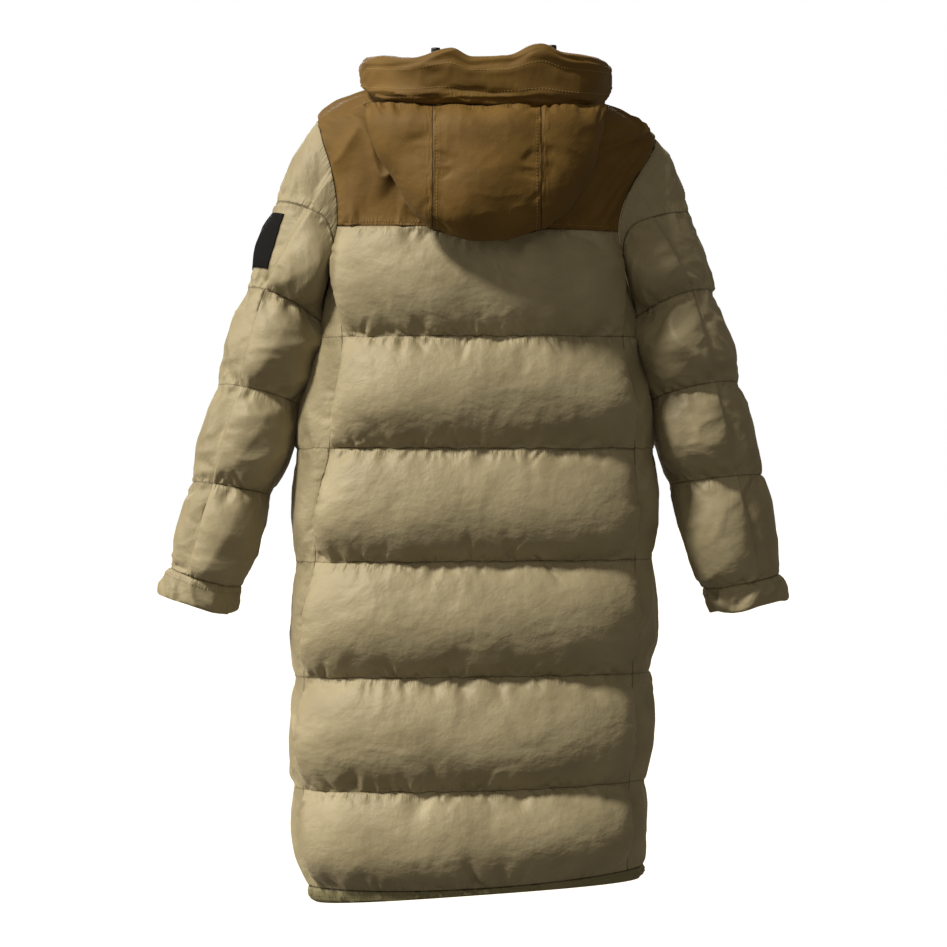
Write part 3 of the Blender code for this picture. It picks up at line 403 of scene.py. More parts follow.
def quilt_relief(u, v, top_gap, bottom_gap, side_gap, seed, strength, beside=1.0):
    """What stitching does to a swollen tier: puckers out from every seam, and soft folds over the rest."""
    seams = [(u, top_gap, 1.0, TOP_PUCKERS), (u, bottom_gap, 1.0, BOTTOM_PUCKERS)]
    seams += [(v, side_gap, beside, SIDE_PUCKERS)]
    drawn = [(place, gap, share, sizes) for place, gap, share, kinds in seams for sizes in kinds]
    found = 0.0
    for number, (place, gap, share, sizes) in enumerate(drawn, 1):
        found = found + share * puckers(place, gap, seed + number, *sizes)
    for gap, (high, reach) in ((top_gap, TOP_GATHER), (bottom_gap, BOTTOM_GATHER)):
        found += high * np.exp(-gap / reach)
    found += heaped(clouds, u, v, seed, TIER_LUMPS) + heaped(folds, u, v, seed, TIER_FOLDS)
    near = np.minimum(np.minimum(top_gap, bottom_gap), side_gap)
    return strength * found * freed(near, SEAM_HOLD)


def settled(stand):
    """A height kept from going below nought: a softplus rounds its lowest 2 mm, so that folds stay folds."""
    soft = 0.0020
    return np.maximum(soft * np.logaddexp(0, stand / soft) - soft * np.log(2), 0)


def as_object(name, mesh, finish):
    """The mesh with its finish, as an object at the origin."""
    mesh.materials.append(finish)
    made = bpy.data.objects.new(name, mesh)
    bpy.context.scene.collection.objects.link(made)
    return made


def lay_out(mesh, u, v, seam_mm):
    """Keeps each point's metres along and down the cloth as a UV map, and its millimetres to a seam."""
    where = np.zeros(len(mesh.loops), np.int32)
    mesh.loops.foreach_get("vertex_index", where)
    mesh.uv_layers.new(name="cloth").data.foreach_set("uv", np.stack([u, v], -1)[where].reshape(-1))
    gaps = mesh.attributes.new("seam_mm", "FLOAT", "POINT")
    gaps.data.foreach_set("value", seam_mm.astype(np.float32))


# the outer grid of each piece by its name, for the stitching
outsides = {}
FAR_FROM_SEAM = 0.06


def shell(name, outer, inner, finish, u, v, seam_gap, ring=False, every=8):
    """One closed wall: a grid outside, every so many rows of a grid inside, and a rim between their edges.

    Along its two sides each rim face takes in all the outer points beside it. A ring has no sides, and its
    first and last columns are merged. The inside counts as far from any seam.
    """
    outsides[name] = outer
    rows, columns = outer.shape[:2]
    kept = np.unique(np.append(np.arange(0, rows, every), rows - 1))
    top = np.arange(rows * columns).reshape(rows, columns)
    low = rows * columns + np.arange(len(kept) * columns).reshape(-1, columns)
    sheets = [
        (top[:-1, :-1], top[1:, :-1], top[1:, 1:], top[:-1, 1:]),
        (low[:-1, :-1], low[:-1, 1:], low[1:, 1:], low[1:, :-1]),
        (top[0, :-1], top[0, 1:], low[0, 1:], low[0, :-1]),
        (low[-1, :-1], low[-1, 1:], top[-1, 1:], top[-1, :-1]),
    ]
    faces = np.concatenate([np.stack(sheet, -1).reshape(-1, 4) for sheet in sheets])
    points = np.concatenate([outer.reshape(-1, 3), inner[kept].reshape(-1, 3)])
    a, b, c, d = (points[faces[:, n]] for n in range(4))
    volume = np.einsum("ij,ij->", a, np.cross(b, c) + np.cross(c, d))
    faces = faces.tolist()
    if not ring:
        for j, way in ((0, -1), (-1, 1)):
            for n, (first, last) in enumerate(zip(kept[:-1], kept[1:])):
                rim = [*top[first : last + 1, j].tolist(), int(low[n + 1, j]), int(low[n, j])]
                faces.append(rim[::way])
    if volume < 0:
        faces = [face[::-1] for face in faces]
    mesh = bpy.data.meshes.new(name)
    mesh.from_pydata(points.tolist(), [], faces)
    spread = np.broadcast_arrays(u, v, seam_gap * 1000, outer[..., 0])[:3]
    u, v, seam_mm = (np.concatenate([part.reshape(-1), part[kept].reshape(-1)]) for part in spread)
    seam_mm[rows * columns :] = FAR_FROM_SEAM * 1000
    lay_out(mesh, u, v, seam_mm)
    if ring:
        joined = bmesh.new()
        joined.from_mesh(mesh)
        bmesh.ops.remove_doubles(joined, verts=joined.verts, dist=1e-5)
        joined.to_mesh(mesh)
        joined.free()
    mesh.shade_smooth()
    mesh.set_sharp_from_angle(angle=math.radians(80))
    return as_object(name, mesh, finish)


def nylon(name, light, dark, painted_seam_shade, roughness, sheen, crumple):
    """Woven nylon shell cloth as one material.

    Its colour goes between two close tones in soft clouds, and is painted darker into the seams as the shade
    in their creases. Its bump adds, from coarse to fine, crumpled creases, puckers drawn out at right angles
    to a seam, and the cloth's grain.
    """
    made, tree, shader = finish_named(
        name, light, roughness, Sheen_Weight=sheen, Sheen_Roughness=0.4, Specular_IOR_Level=0.32
    )
    shader.inputs["Sheen Tint"].default_value = linear("#FFF1D6")
    uv = add(tree, "ShaderNodeUVMap", uv_map="cloth").outputs["UV"]
    gap = add(tree, "ShaderNodeAttribute", attribute_name="seam_mm").outputs["Fac"]
    # clouds about 70 mm across, where the down behind the cloth is thinner or thicker
    cloud = add(tree, "ShaderNodeTexNoise", {"Vector": uv, "Scale": 14.0, "Detail": 3.0}).outputs["Fac"]
    tone = add(tree, "ShaderNodeMapRange", {"Value": cloud, "From Min": 0.3, "From Max": 0.7}).outputs[0]
    mixed = {0: tone, 6: linear(dark), 7: linear(light)}
    body = add(tree, "ShaderNodeMix", mixed, data_type="RGBA").outputs[2]
    # painted shade: within 1.2 mm of a seam the colour goes to the dark seam tone, standing in for the shade
    # in its crease
    depth = add(tree, "ShaderNodeMapRange", {"Value": gap, "From Min": 0.0, "From Max": 1.2}).outputs[0]
    mixed = {0: depth, 6: linear(painted_seam_shade), 7: body}
    whole = add(tree, "ShaderNodeMix", mixed, data_type="RGBA").outputs[2]
    tree.links.new(whole, shader.inputs["Base Color"])
    # creases 25 mm apart, as in cloth that has been folded and worn
    worn = {"Vector": uv, "Scale": 46.0, "Detail": 5.0, "Distortion": 0.2}
    crease = add(tree, "ShaderNodeTexNoise", worn).outputs["Fac"]
    # and dimples 9 mm apart between them
    dimple = add(tree, "ShaderNodeTexNoise", {"Vector": uv, "Scale": 115.0, "Detail": 3.0}).outputs["Fac"]
    # puckers 4 mm apart along the seam and five times as long, gone 16 mm away from it
    drawn = add(tree, "ShaderNodeMapping", {"Vector": uv, "Scale": (250.0, 46.0, 1.0)}).outputs["Vector"]
    pucker = add(tree, "ShaderNodeTexNoise", {"Vector": drawn, "Scale": 1.0, "Detail": 2.0}).outputs["Fac"]
    fading = {"Value": gap, "From Min": 16.0, "From Max": 1.0}
    near = add(tree, "ShaderNodeMapRange", fading, interpolation_type="SMOOTHSTEP").outputs[0]
    held = add(tree, "ShaderNodeMath", {0: pucker, 1: near}, operation="MULTIPLY").outputs[0]
    # the weave is 0.3 mm and wouldn't show, so its grain is drawn 1.5 mm coarse
    grain = add(tree, "ShaderNodeTexNoise", {"Vector": uv, "Scale": 650.0, "Detail": 1.0}).outputs["Fac"]
    bent = {}
    for height, strength, distance in (
        (crease, crumple, 0.0019),
        (dimple, 0.7 * crumple, 0.0012),
        (held, 0.85, 0.0028),
        (grain, 0.12, 0.0003),
    ):
        raised = {"Height": height, "Strength": strength, "Distance": distance, **bent}
        bent = {"Normal": add(tree, "ShaderNodeBump", raised).outputs["Normal"]}
    tree.links.new(bent["Normal"], shader.inputs["Normal"])
    return made


# Calendered downproof nylon: close, smooth and slightly glossy, so it shows each swelling as a soft light.
# its third colour is the shade painted into the creases of its seams
KHAKI = nylon("khaki downproof nylon, woven and calendered", "#9D9477", "#8A8165", "#60563C", 0.54, 0.25, 0.9)


def level(height):
    """A seam at one height all the way across."""
    return lambda share: np.full_like(share, height)


def tier_seams(armhole_edge=None):
    """The six tiers' top and bottom seams as functions of the share across."""
    tops = [level(height) for height in TIERS["top"]]
    bottoms = [level(height) for height in TIERS["bottom"]]
    tops[0] = armhole_edge or level(YOKE_SEAM - GAP / 2)
    bottoms[-1] = level(HEM_SEAM + GAP / 2)
    return tops, bottoms


def body_piece(name, finish, across, seams, lofts, sharpness, seed, strength=1.0, drape=0.0):
    """A panel of the body in tiers: the torso's surface, pushed out by each tier's fullness and relief.

    across gives each point's angle from its height and share. Fullness is loft times puff down the tier
    times pinch across it, 12 per cent more or less in soft clouds, and it sags by a share of itself. drape
    is the height of the long folds that hang down a piece with little in it.
    """
    tops, bottoms = seams
    upper = tops[0](np.array([0.5]))[0] - 0.02
    rough = torso(across(np.full(60, upper), np.linspace(0, 1, 60)), -0.4)
    wide = np.linalg.norm(np.diff(rough, axis=0), axis=1).sum()
    share = np.linspace(0, 1, int(wide / CLOTH_STEP) + 2)
    far, wave, hold = SEAM_WANDER
    held = far * freed(wide * np.minimum(share, 1 - share), hold)
    wander = [held * clouds(wide * share, 0 * share, wave, seed + 60 + n) for n in range(len(tops) + 1)]
    wander[0], wander[-1] = 0, 0
    grids = []
    for number, (top, bottom) in enumerate(zip(tops, bottoms)):
        high, low = top(share) + wander[number], bottom(share) + wander[number + 1]
        count = max(4, int(np.max(high - low) * 1.12 / CLOTH_STEP))
        # a tier's first row is the last of the tier above
        t = np.linspace(0, 1, count + 1)[min(number, 1) :, None]
        heights = high + (low - high) * t
        angle = across(heights, share)
        base = torso(angle, heights)
        out = normals(torso, angle, heights, 1)
        u, v = run_along(base[len(base) // 2]) + 0 * heights, -CLOTH_DOWN * heights
        down, up = t * (high - low) * CLOTH_DOWN, (1 - t) * (high - low) * CLOTH_DOWN
        side = np.minimum(u, u[:, -1:] - u)
        tall = np.clip((high - low) / FULL_HEIGHT, LEAST_FULL, 1)
        full = lofts[number] * puff(t, BODY_ROUNDNESS) * pinch(share, sharpness) * tall
        lumps = quilt_relief(u, v, down, up, side, seed + 50 * number, strength)
        # the long folds lean a little, and are over three times as long as they are wide
        lumps += drape * folds(u + 0.25 * v, 0.3 * v, DRAPE[0], seed + 40) * freed(side, DRAPE[1])
        change = heaped(clouds, u, v, seed, FULLNESS_CHANGE)
        stand = settled(full * (1 + change) + lumps * tall)
        droop = full * (SAG + heaped(clouds, u, 0 * v, seed, SAG_CHANGE))
        outer = base + out * (OUTSIDE + stand)[..., None] - np.array([0, 0, 1]) * droop[..., None]
        grids.append((outer, base - out * INSIDE, u, v, np.minimum(np.minimum(down, up), side)))
    outer, inner, u, v, gap = (np.concatenate(parts) for parts in zip(*grids))
    made = shell(name, outer, inner, finish, u, v, gap)
    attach(made, "coat")
    return made


back = body_piece("back", KHAKI, BACK_ACROSS, tier_seams(), TIERS["back_loft"], 26, 100)
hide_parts("back_panel")

# ================================================================ side panels
# A narrow quilted piece runs up under each arm, from the hem to the armhole, with its tiers in line with
# the back's. It is the same khaki nylon over less down, sewn in at both edges.

SIDE_RELIEF = 0.8
SIDE_DRAPE = 0.0022


def side_across(side):
    """Angles across a side panel, as on the left, from its back seam to its front seam."""

    def across(heights, share):
        """y goes evenly from back seam to front seam, less half a slit at each, and gives the angle."""
        back_y = side_back_y(side, heights)
        return side_angle(back_y + (SIDE_PANEL_FRONT_Y - back_y) * share + GAP * (share - 0.5), heights)

    return across


SIDE_ACROSS = {
    "left": side_across(1),
    "right": lambda heights, share: 180 - side_across(-1)(heights, share),
}
for side, name in ((1, "left"), (-1, "right")):

    def armhole_edge(share, back_y=SIDE_BACK[side]["y"][0]):
        """The armhole's lower edge above a share of the way across."""
        return armhole_height(back_y + (SIDE_PANEL_FRONT_Y - back_y) * share)

    seams, lofts, seed = tier_seams(armhole_edge), TIERS["side_loft"], 900 + 500 * side
    across = SIDE_ACROSS[name]
    piece = body_piece(f"side_{name}", KHAKI, across, seams, lofts, 4, seed, SIDE_RELIEF, SIDE_DRAPE)
    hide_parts(f"side_panel_{name}")

# ================================================================ front panels
# Two fronts, quilted in the same six tiers, meet at the zip. Each is one piece of the khaki nylon over down,
# as the back is, sewn to the side panel beside it, the yoke above it and the zip's tape.

ZIP_HALF_WIDTH = 0.0049


def front_angle(x, height):
    """The angle at which the front of a section is x from its middle: the superellipse solved for y."""
    half_width = along(BODY, "half_width", height)
    power = along(BODY, "squareness", height)
    y = along(BODY, "front", height) * (1 - (np.abs(x) / half_width) ** power) ** (1 / power)
    return 360 - np.degrees(np.arctan2(y, x))


def front_edge(height):
    """Angle of the front's edge as on the left: the armhole above the side panel, that panel's seam below."""
    y = np.where(height > armhole_height(SIDE_PANEL_FRONT_Y), armhole_y(height, -1), SIDE_PANEL_FRONT_Y)
    return side_angle(np.where(height > ARMHOLE_TOP, SHOULDER_SEAM_Y, y) - GAP / 2, height)


def zip_edge(side):
    """Angle of a front's edge beside the zip."""
    return lambda height: front_angle(side * (ZIP_HALF_WIDTH + GAP), height)


FRONT_ACROSS = {
    "left": between(zip_edge(1), lambda height: 360 + front_edge(height)),
    "right": between(lambda height: 180 - front_edge(height), zip_edge(-1)),
}
for seed, (name, across) in enumerate(FRONT_ACROSS.items(), 2004):
    lofts = TIERS["front_loft"]
    piece = body_piece(f"front_{name}_quilted", KHAKI, across, tier_seams(), lofts, 6, seed)
    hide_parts(f"front_{name}")

# ================================================================ yokes
# The shoulders are brown nylon, heavier and plainer than the khaki, over a thin layer of down: one piece
# behind, and one on each side of the zip in front. They lie smooth, with soft drag lines from the armholes.

NECK_HALF_WIDTH = 0.087
NECK_BACK = 0.087
NECK_FRONT = 0.098
NECK_TOP = 0.024
YOKE_LOFT = 0.008
YOKE_RELIEF = 0.9
YOKE_DRAPE = 0.0055


def neck_height(angle):
    """Height of the neck seam: halved steps find where the body's section reaches the neck's oval."""
    angle = np.radians(angle)
    depth = np.where(np.sin(angle) > 0, NECK_BACK, NECK_FRONT)
    oval = np.hypot(np.cos(angle) / NECK_HALF_WIDTH, np.sin(angle) / depth) ** -1
    low = np.full_like(oval, ARMHOLE_TOP)
    high = np.full_like(oval, BODY["height"][0])
    for _ in range(20):
        middle = (low + high) / 2
        beyond = section_reach(angle, middle) > oval
        low = np.where(beyond, middle, low)
        high = np.where(beyond, high, middle)
    return (low + high) / 2


# Heavier brown nylon, woven plain and less glossy, so its folds are softer.
# its third colour is the shade painted into the creases of its seams
BROWN = nylon("brown nylon taslan, woven", "#6E5420", "#5C4417", "#2E200A", 0.72, 0.05, 0.5)
pieces = [("back_yoke", "yoke_behind", BACK_ACROSS, 6)]
pieces += [(f"front_yoke_{name}", f"yoke_{name}", across, 4) for name, across in FRONT_ACROSS.items()]
for number, (node, name, across, sharpness) in enumerate(pieces):

    def neck_edge(share, across=across):
        """The neck's seam above a share of the way across."""
        return neck_height(across(np.full_like(share, NECK_TOP), share))

    seams, seed = ([neck_edge], [level(YOKE_SEAM + GAP / 2)]), 3000 + 100 * number
    piece = body_piece(name, BROWN, across, seams, [YOKE_LOFT], sharpness, seed, YOKE_RELIEF, YOKE_DRAPE)
    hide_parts(node)

# ================================================================ hem band
# A narrow turned-up band of darker olive cloth closes the hem, open where the zip ends, and gathers it a
# little, so short folds run across it.

HEM_LOFT = 0.004
HEM_RELIEF = 0.9
# Olive nylon taffeta: plain woven and thin, darker and flatter than the khaki, with less sheen.
# its third colour is the shade painted into the creases of its seams
OLIVE = nylon("olive nylon taffeta, woven", "#7D7858", "#6C684B", "#2E2B17", 0.6, 0.12, 0.5)
HEM_PARTS = (
    (7, FRONT_ACROSS["left"]),
    (4, lambda heights, share: SIDE_ACROSS["left"](heights, 1 - share)),
    (14, BACK_ACROSS),
    (4, SIDE_ACROSS["right"]),
    (7, FRONT_ACROSS["right"]),
)


def round_the_body(parts):
    """Angles round the body from the zip's left side to its right, each part taking its share of the way."""
    ends = np.cumsum([0] + [count for count, _ in parts]) / sum(count for count, _ in parts)

    def across(heights, share):
        """The angle from the part that a share of the way falls in, at the share of that part it comes to."""
        heights, share = np.broadcast_arrays(heights, share)
        which = np.clip(np.searchsorted(ends, share, side="right") - 1, 0, len(parts) - 1)
        local = (share - ends[which]) / (ends[which + 1] - ends[which])
        return np.select([which == n for n in range(len(parts))], [part(heights, local) for _, part in parts])

    return across


# the band is low, so its fullness and relief are stated before body_piece takes its least share of them
seams = [level(HEM_SEAM - GAP / 2)], [level(HEM_EDGE)]
lofts, relief = [HEM_LOFT / LEAST_FULL], HEM_RELIEF / LEAST_FULL
hem = body_piece("hem", OLIVE, round_the_body(HEM_PARTS), seams, lofts, 60, 4000, relief)
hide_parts("hem_band")

# ================================================================ sleeves
# Each sleeve is two lengthwise pieces of khaki nylon, quilted into a cap and four tiers over down, with a
# lengthwise seam outside and behind. They hang just clear of the body, pressed flatter towards it.

CAP_BULGE = 0.010
CAP_LEAST = 0.06
CAP_FULL = 0.45
OUTER_SEAM = 65.0
SEAM_TURN = 0.03
SLEEVE_GAP = 0.0018
UNDERARM_GAP = 0.0060
CUFF_GAP = 0.003
# a tier below the cap's is so long, and one shorter than the second length is less full
TIER_ALONG = 0.125
TIER_LENGTH = 0.10
OUTER_LOFT = 0.0105
UNDER_LOFT = 0.024
SEAM_LOFT = 0.0090
SLEEVE_SAG = 0.35
SLEEVE_ROUNDNESS = 0.60
SLEEVE_SIDE_PUCKERS = 0.3
SLEEVE_FOLDS = ((0.0020, 0.048, 32), (0.0010, 0.024, 36))
# how much its fullness changes in soft clouds and how wide those are, and how near a seam still holds it
SLEEVE_CHANGE = (0.15, 0.080)
SLEEVE_HOLD = 0.012
# beside a lengthwise seam the relief is so much higher, and that falls to a third so far from it
SEAM_HEAP = (0.8, 0.030)
# that seam is pressed open, so the cloth counts as so much further from it than it is, and takes no painted
# seam shade and weaker drawn puckers there
PRESSED_OPEN = 0.0060
# the turns over which its gap at the armhole widens to the underarm's
UNDERARM_TURNS = (95, 140)
# towards the body it is pressed flat over these turns, and loses this share of its fullness there
PRESSED_TURNS = (125, 180)
PRESSED = 0.92
# the share of its relief that it would keep if it lost all of its fullness
PRESSED_RELIEF = 0.3
RIDGE_HEIGHT = 0.0072
RIDGE_FROM, RIDGE_TO, RIDGE_SPREAD = 110.0, 80.0, 26.0
# the bunch of cloth under the arm: its turn and spread, and in each tier its reach from the seam and height
BUNCH_TURN, BUNCH_SPREAD = 172.0, 26.0
BUNCH = {1: (0.40, 0.0125), 2: (0.20, 0.0250)}
RINGS = {
    1: table(
        "ring x y z half_width half_depth slope arch",
        [
            (1, 0.2595, -0.004, -0.263, 0.0480, 0.055, 24.0, 0.012),
            (2, 0.2885, -0.010, -0.388, 0.0575, 0.058, 14.5, 0.010),
            (3, 0.3275, -0.020, -0.511, 0.0520, 0.055, 9.6, 0.004),
            (4, 0.3625, -0.030, -0.629, 0.0475, 0.050, 14.5, -0.005),
            (5, 0.3775, -0.034, -0.666, 0.0510, 0.053, 15.0, -0.005),
        ],
    ),
    -1: table(
        "ring x y z half_width half_depth slope arch",
        [
            (1, -0.2725, -0.004, -0.263, 0.0500, 0.055, 19.0, 0.012),
            (2, -0.2985, -0.010, -0.382, 0.0585, 0.058, 11.8, 0.010),
            (3, -0.3275, -0.020, -0.4995, 0.0605, 0.056, 6.1, 0.004),
            (4, -0.3625, -0.030, -0.6355, 0.0505, 0.051, 10.5, -0.003),
            (5, -0.3745, -0.034, -0.668, 0.0530, 0.054, 12.0, -0.003),
        ],
    ),
}
CAP_SEAM = table("turn share", [(0, 0.53), (35, 0.46), (65, 0.33), (90, 0.16), (115, 0.08), (180, 0.08)])


def armhole(side, turn):
    """Point of the armhole's oval on the torso: turn 0 is the shoulder, 90 behind, 180 under the arm."""
    turn = np.radians(turn)
    y = SHOULDER_SEAM_Y + ARMHOLE_HALF_WIDTH * np.sin(turn)
    middle = (ARMHOLE_TOP + ARMHOLE_BOTTOM) / 2
    height = middle + (ARMHOLE_TOP - middle) * np.cos(turn)
    angle = side_angle(y, height)
    return torso(angle if side == 1 else 180 - angle, height)


def ring_point(side, turn, ring):
    """Point of a sleeve's oval ring, tipped by its slope and lifted behind by its arch."""
    rows = RINGS[side]
    turn = np.radians(turn)
    slope = np.radians(along(rows, "slope", ring))
    width = along(rows, "half_width", ring) * np.cos(turn)
    x = along(rows, "x", ring) + side * width * np.cos(slope)
    y = along(rows, "y", ring) + along(rows, "half_depth", ring) * np.sin(turn)
    z = along(rows, "z", ring) + width * np.sin(slope) + along(rows, "arch", ring) * np.sin(turn)
    return np.stack([x, y, z], -1)


def sleeve(side, turn, ring):
    """Seam-level point of a sleeve: from the armhole (ring 0) to ring 1 with a bulge, then ring to ring."""
    turn, ring = np.broadcast_arrays(turn, ring)
    share = np.clip(ring, 0, 1)[..., None]
    start = armhole(side, turn)
    end = ring_point(side, turn, np.clip(ring, 1, 5))
    cosine, sine = np.cos(np.radians(turn)), np.sin(np.radians(turn))
    outward = np.stack([side * cosine, sine, 0.4 + 0 * turn], -1) * ((1 + cosine) / 2)[..., None] ** 2
    bulge = CAP_BULGE * 6.75 * share * (1 - share) ** 2
    return start + (end - start) * share + bulge * outward


def ramp(value, low, high):
    """Nought up to low, one from high on, and a straight line between."""
    return np.clip((value - low) / (high - low), 0, 1)


def sleeve_piece(name, side, first, last, loft, seed):
    """A lengthwise piece of a sleeve between two turns: its surface, plus each tier's fullness and relief.

    It gives back the piece, and the outer grid with its normals, turns, tiers and cloth places.
    """
    surface = lambda at, ring: sleeve(side, at, ring)
    coarse = sleeve(side, np.linspace(first, last, 60), 2.0)
    wide = np.linalg.norm(np.diff(coarse, axis=0), axis=1).sum()
    turn = np.linspace(first, last, int(wide / CLOTH_STEP) + 2)
    share = np.linspace(0, 1, len(turn))
    inward = np.abs((turn + 180) % 360 - 180)
    reach = np.linalg.norm(ring_point(side, turn, 1.0) - armhole(side, turn), axis=-1)
    start = (SLEEVE_GAP + (UNDERARM_GAP - SLEEVE_GAP) * ramp(inward, *UNDERARM_TURNS)) / reach
    seam = np.maximum(along(CAP_SEAM, "share", inward), start + CAP_LEAST)
    pressed = 1 - PRESSED * ramp(inward, *PRESSED_TURNS)
    grids, place = [], 0.0
    for number, (top, bottom) in enumerate(((start, seam), (seam, 1), (1, 2), (2, 3), (3, 4 - CUFF_GAP))):
        length = reach * (bottom - top) if number < 2 else np.full(len(turn), TIER_ALONG)
        t = np.linspace(0, 1, max(4, int(length.max() * 1.1 / CLOTH_STEP)))[min(number, 1) :, None]
        ring = top + (bottom - top) * t
        turns = turn + 0 * ring
        base = surface(turns, ring)
        out = normals(surface, turns, ring, -side)
        u, v = run_along(base[len(base) // 2]) + 0 * ring, place + t * length
        place += length.max()
        down, up = t * length, (1 - t) * length
        side_gap = np.minimum(u, u[:, -1:] - u)
        long = np.clip(length / TIER_LENGTH, 0, 1)
        full = (SEAM_LOFT + (loft - SEAM_LOFT) * pinch(share, 5)) * puff(t, SLEEVE_ROUNDNESS) * long * pressed
        relief = quilt_relief(u, v, down, up, side_gap, seed + 50 * number, 1.0, SLEEVE_SIDE_PUCKERS)
        lumps = relief * long * (PRESSED_RELIEF + (1 - PRESSED_RELIEF) * pressed)
        lumps *= 1 + SEAM_HEAP[0] * np.exp(-side_gap / SEAM_HEAP[1])
        if number:
            # the down packs towards one slanting line behind, with the cloth pulled flat on either side of it
            away = np.abs(turns - RIDGE_FROM - (RIDGE_TO - RIDGE_FROM) * t)
            lumps += RIDGE_HEIGHT * np.exp(-away / RIDGE_SPREAD) * np.sin(np.pi * t) ** 0.7 * long
        else:
            full = CAP_FULL * full
        if number in BUNCH:
            # the cloth under the arm bunches above and below its seam, and fills the space beside the body
            far, high = BUNCH[number]
            near = 1 - t if number == 1 else t
            round_it = ((inward - BUNCH_TURN) / BUNCH_SPREAD) ** 2
            bunch = np.exp(-round_it - ((near - 0.8 * far) / far) ** 2)
            full = full + high * bunch * np.minimum(1, near * 60)
        held = freed(side_gap, SLEEVE_HOLD)
        lumps += heaped(folds, u, v, seed, SLEEVE_FOLDS) * held * long
        change = SLEEVE_CHANGE[0] * held * clouds(u, v, SLEEVE_CHANGE[1], seed + 30)
        stand = settled(full * (1 + change) + lumps)
        outer = base + out * (OUTSIDE + stand)[..., None] - np.array([0, 0, SLEEVE_SAG]) * full[..., None]
        gap = np.minimum(np.minimum(down, up), side_gap + PRESSED_OPEN)
        grids.append((outer, base - out * INSIDE, u, v, gap, out, turns, number + t + 0 * turns))
    outer, inner, u, v, gap, out, turns, stage = (np.concatenate(parts) for parts in zip(*grids))
    made = shell(name, outer, inner, KHAKI, u, v, gap)
    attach(made, "coat")
    return made, (outer, out, turns, stage, u, v)


sleeve_cloth = {}
for side, name in ((1, "left"), (-1, "right")):
    first, last = OUTER_SEAM - SEAM_TURN, OUTER_SEAM + SEAM_TURN
    made = sleeve_piece(f"arm_outer_{name}", side, -first, first, OUTER_LOFT, 5000 + side * 300)
    outside, sleeve_cloth[name] = made
    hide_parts(f"sleeve_outer_{name}")
    below, _ = sleeve_piece(f"arm_under_{name}", side, last, 360 - last, UNDER_LOFT, 6000 + side * 300)
    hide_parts(f"sleeve_under_{name}")

# ================================================================ sleeve patch
# A plain black woven patch is sewn flat on the left sleeve's outer piece, over its second tier, and
# follows each swelling of the cloth below it.

# the turn of its front edge and of its back edge at the top and the bottom, and the tiers it lies between
PATCH_TURNS = (-16.4, 44.0, 55.0)
PATCH_STAGE = (1.13, 1.76)
PATCH_LOW = 0.0006
PATCH_HIGH = 0.0020

# Close-woven polyester: matt and nearly black, with a fine slanting rib.
patch_black, tree, shader = finish_named("black polyester patch, close woven", "#050506", 0.85)
shader.inputs["Specular IOR Level"].default_value = 0.2
uv = add(tree, "ShaderNodeUVMap", uv_map="cloth").outputs["UV"]
# close threads 1.2 mm apart, drawn coarser than the real 0.4 mm so that they show
woven = {"Vector": uv, "Scale": 260.0, "Distortion": 0.4}
thread = add(tree, "ShaderNodeTexWave", woven, bands_direction="DIAGONAL").outputs["Fac"]
bump = add(tree, "ShaderNodeBump", {"Height": thread, "Strength": 0.3, "Distance": 0.0004}).outputs["Normal"]
tree.links.new(bump, shader.inputs["Normal"])


def sampled(grid, row, column):
    """Values of a grid at fractional rows and columns, straight-lined between its points."""
    i = np.clip(np.floor(row).astype(int), 0, grid.shape[0] - 2)
    j = np.clip(np.floor(column).astype(int), 0, grid.shape[1] - 2)
    s, t = row - i, column - j
    if grid.ndim == 3:
        s, t = s[..., None], t[..., None]
    upper = grid[i, j] * (1 - t) + grid[i, j + 1] * t
    return upper * (1 - s) + (grid[i + 1, j] * (1 - t) + grid[i + 1, j + 1] * t) * s


outer, out, turns, stage, u, v = sleeve_cloth["left"]
down, over = np.linspace(0, 1, 30)[:, None], np.linspace(0, 1, 30)
tier = PATCH_STAGE[0] + (PATCH_STAGE[1] - PATCH_STAGE[0]) * down + 0 * over
row = np.interp(tier, stage[:, 0], np.arange(len(stage)))
last = PATCH_TURNS[1] + (PATCH_TURNS[2] - PATCH_TURNS[1]) * down
turn = PATCH_TURNS[0] + (last - PATCH_TURNS[0]) * over
column = np.interp(turn, turns[0], np.arange(turns.shape[1]))
lying, up, u, v = (sampled(grid, row, column) for grid in (outer, out, u, v))
outer, inner, gap = lying + up * PATCH_HIGH, lying + up * PATCH_LOW, FAR_FROM_SEAM + 0 * u
patch = shell("patch", outer, inner, patch_black, u, v, gap, every=1)
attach(patch, "coat")
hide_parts("sleeve_patch")

# ================================================================ cuffs
# Each cuff is a wide band of the khaki nylon, folded back on itself with hardly any down in it. It is sewn
# to the sleeve's last tier, and crumpled by wear.

CUFF_LOFT = 0.004
CUFF_ROUND = 0.34
CUFF_RADIUS = 0.054
CUFF_DEPTH = 0.04
# its crumples: how high, how wide the lumps are and how wide the folds
CUFF_CRUSH = (0.0030, 0.018, 0.020)
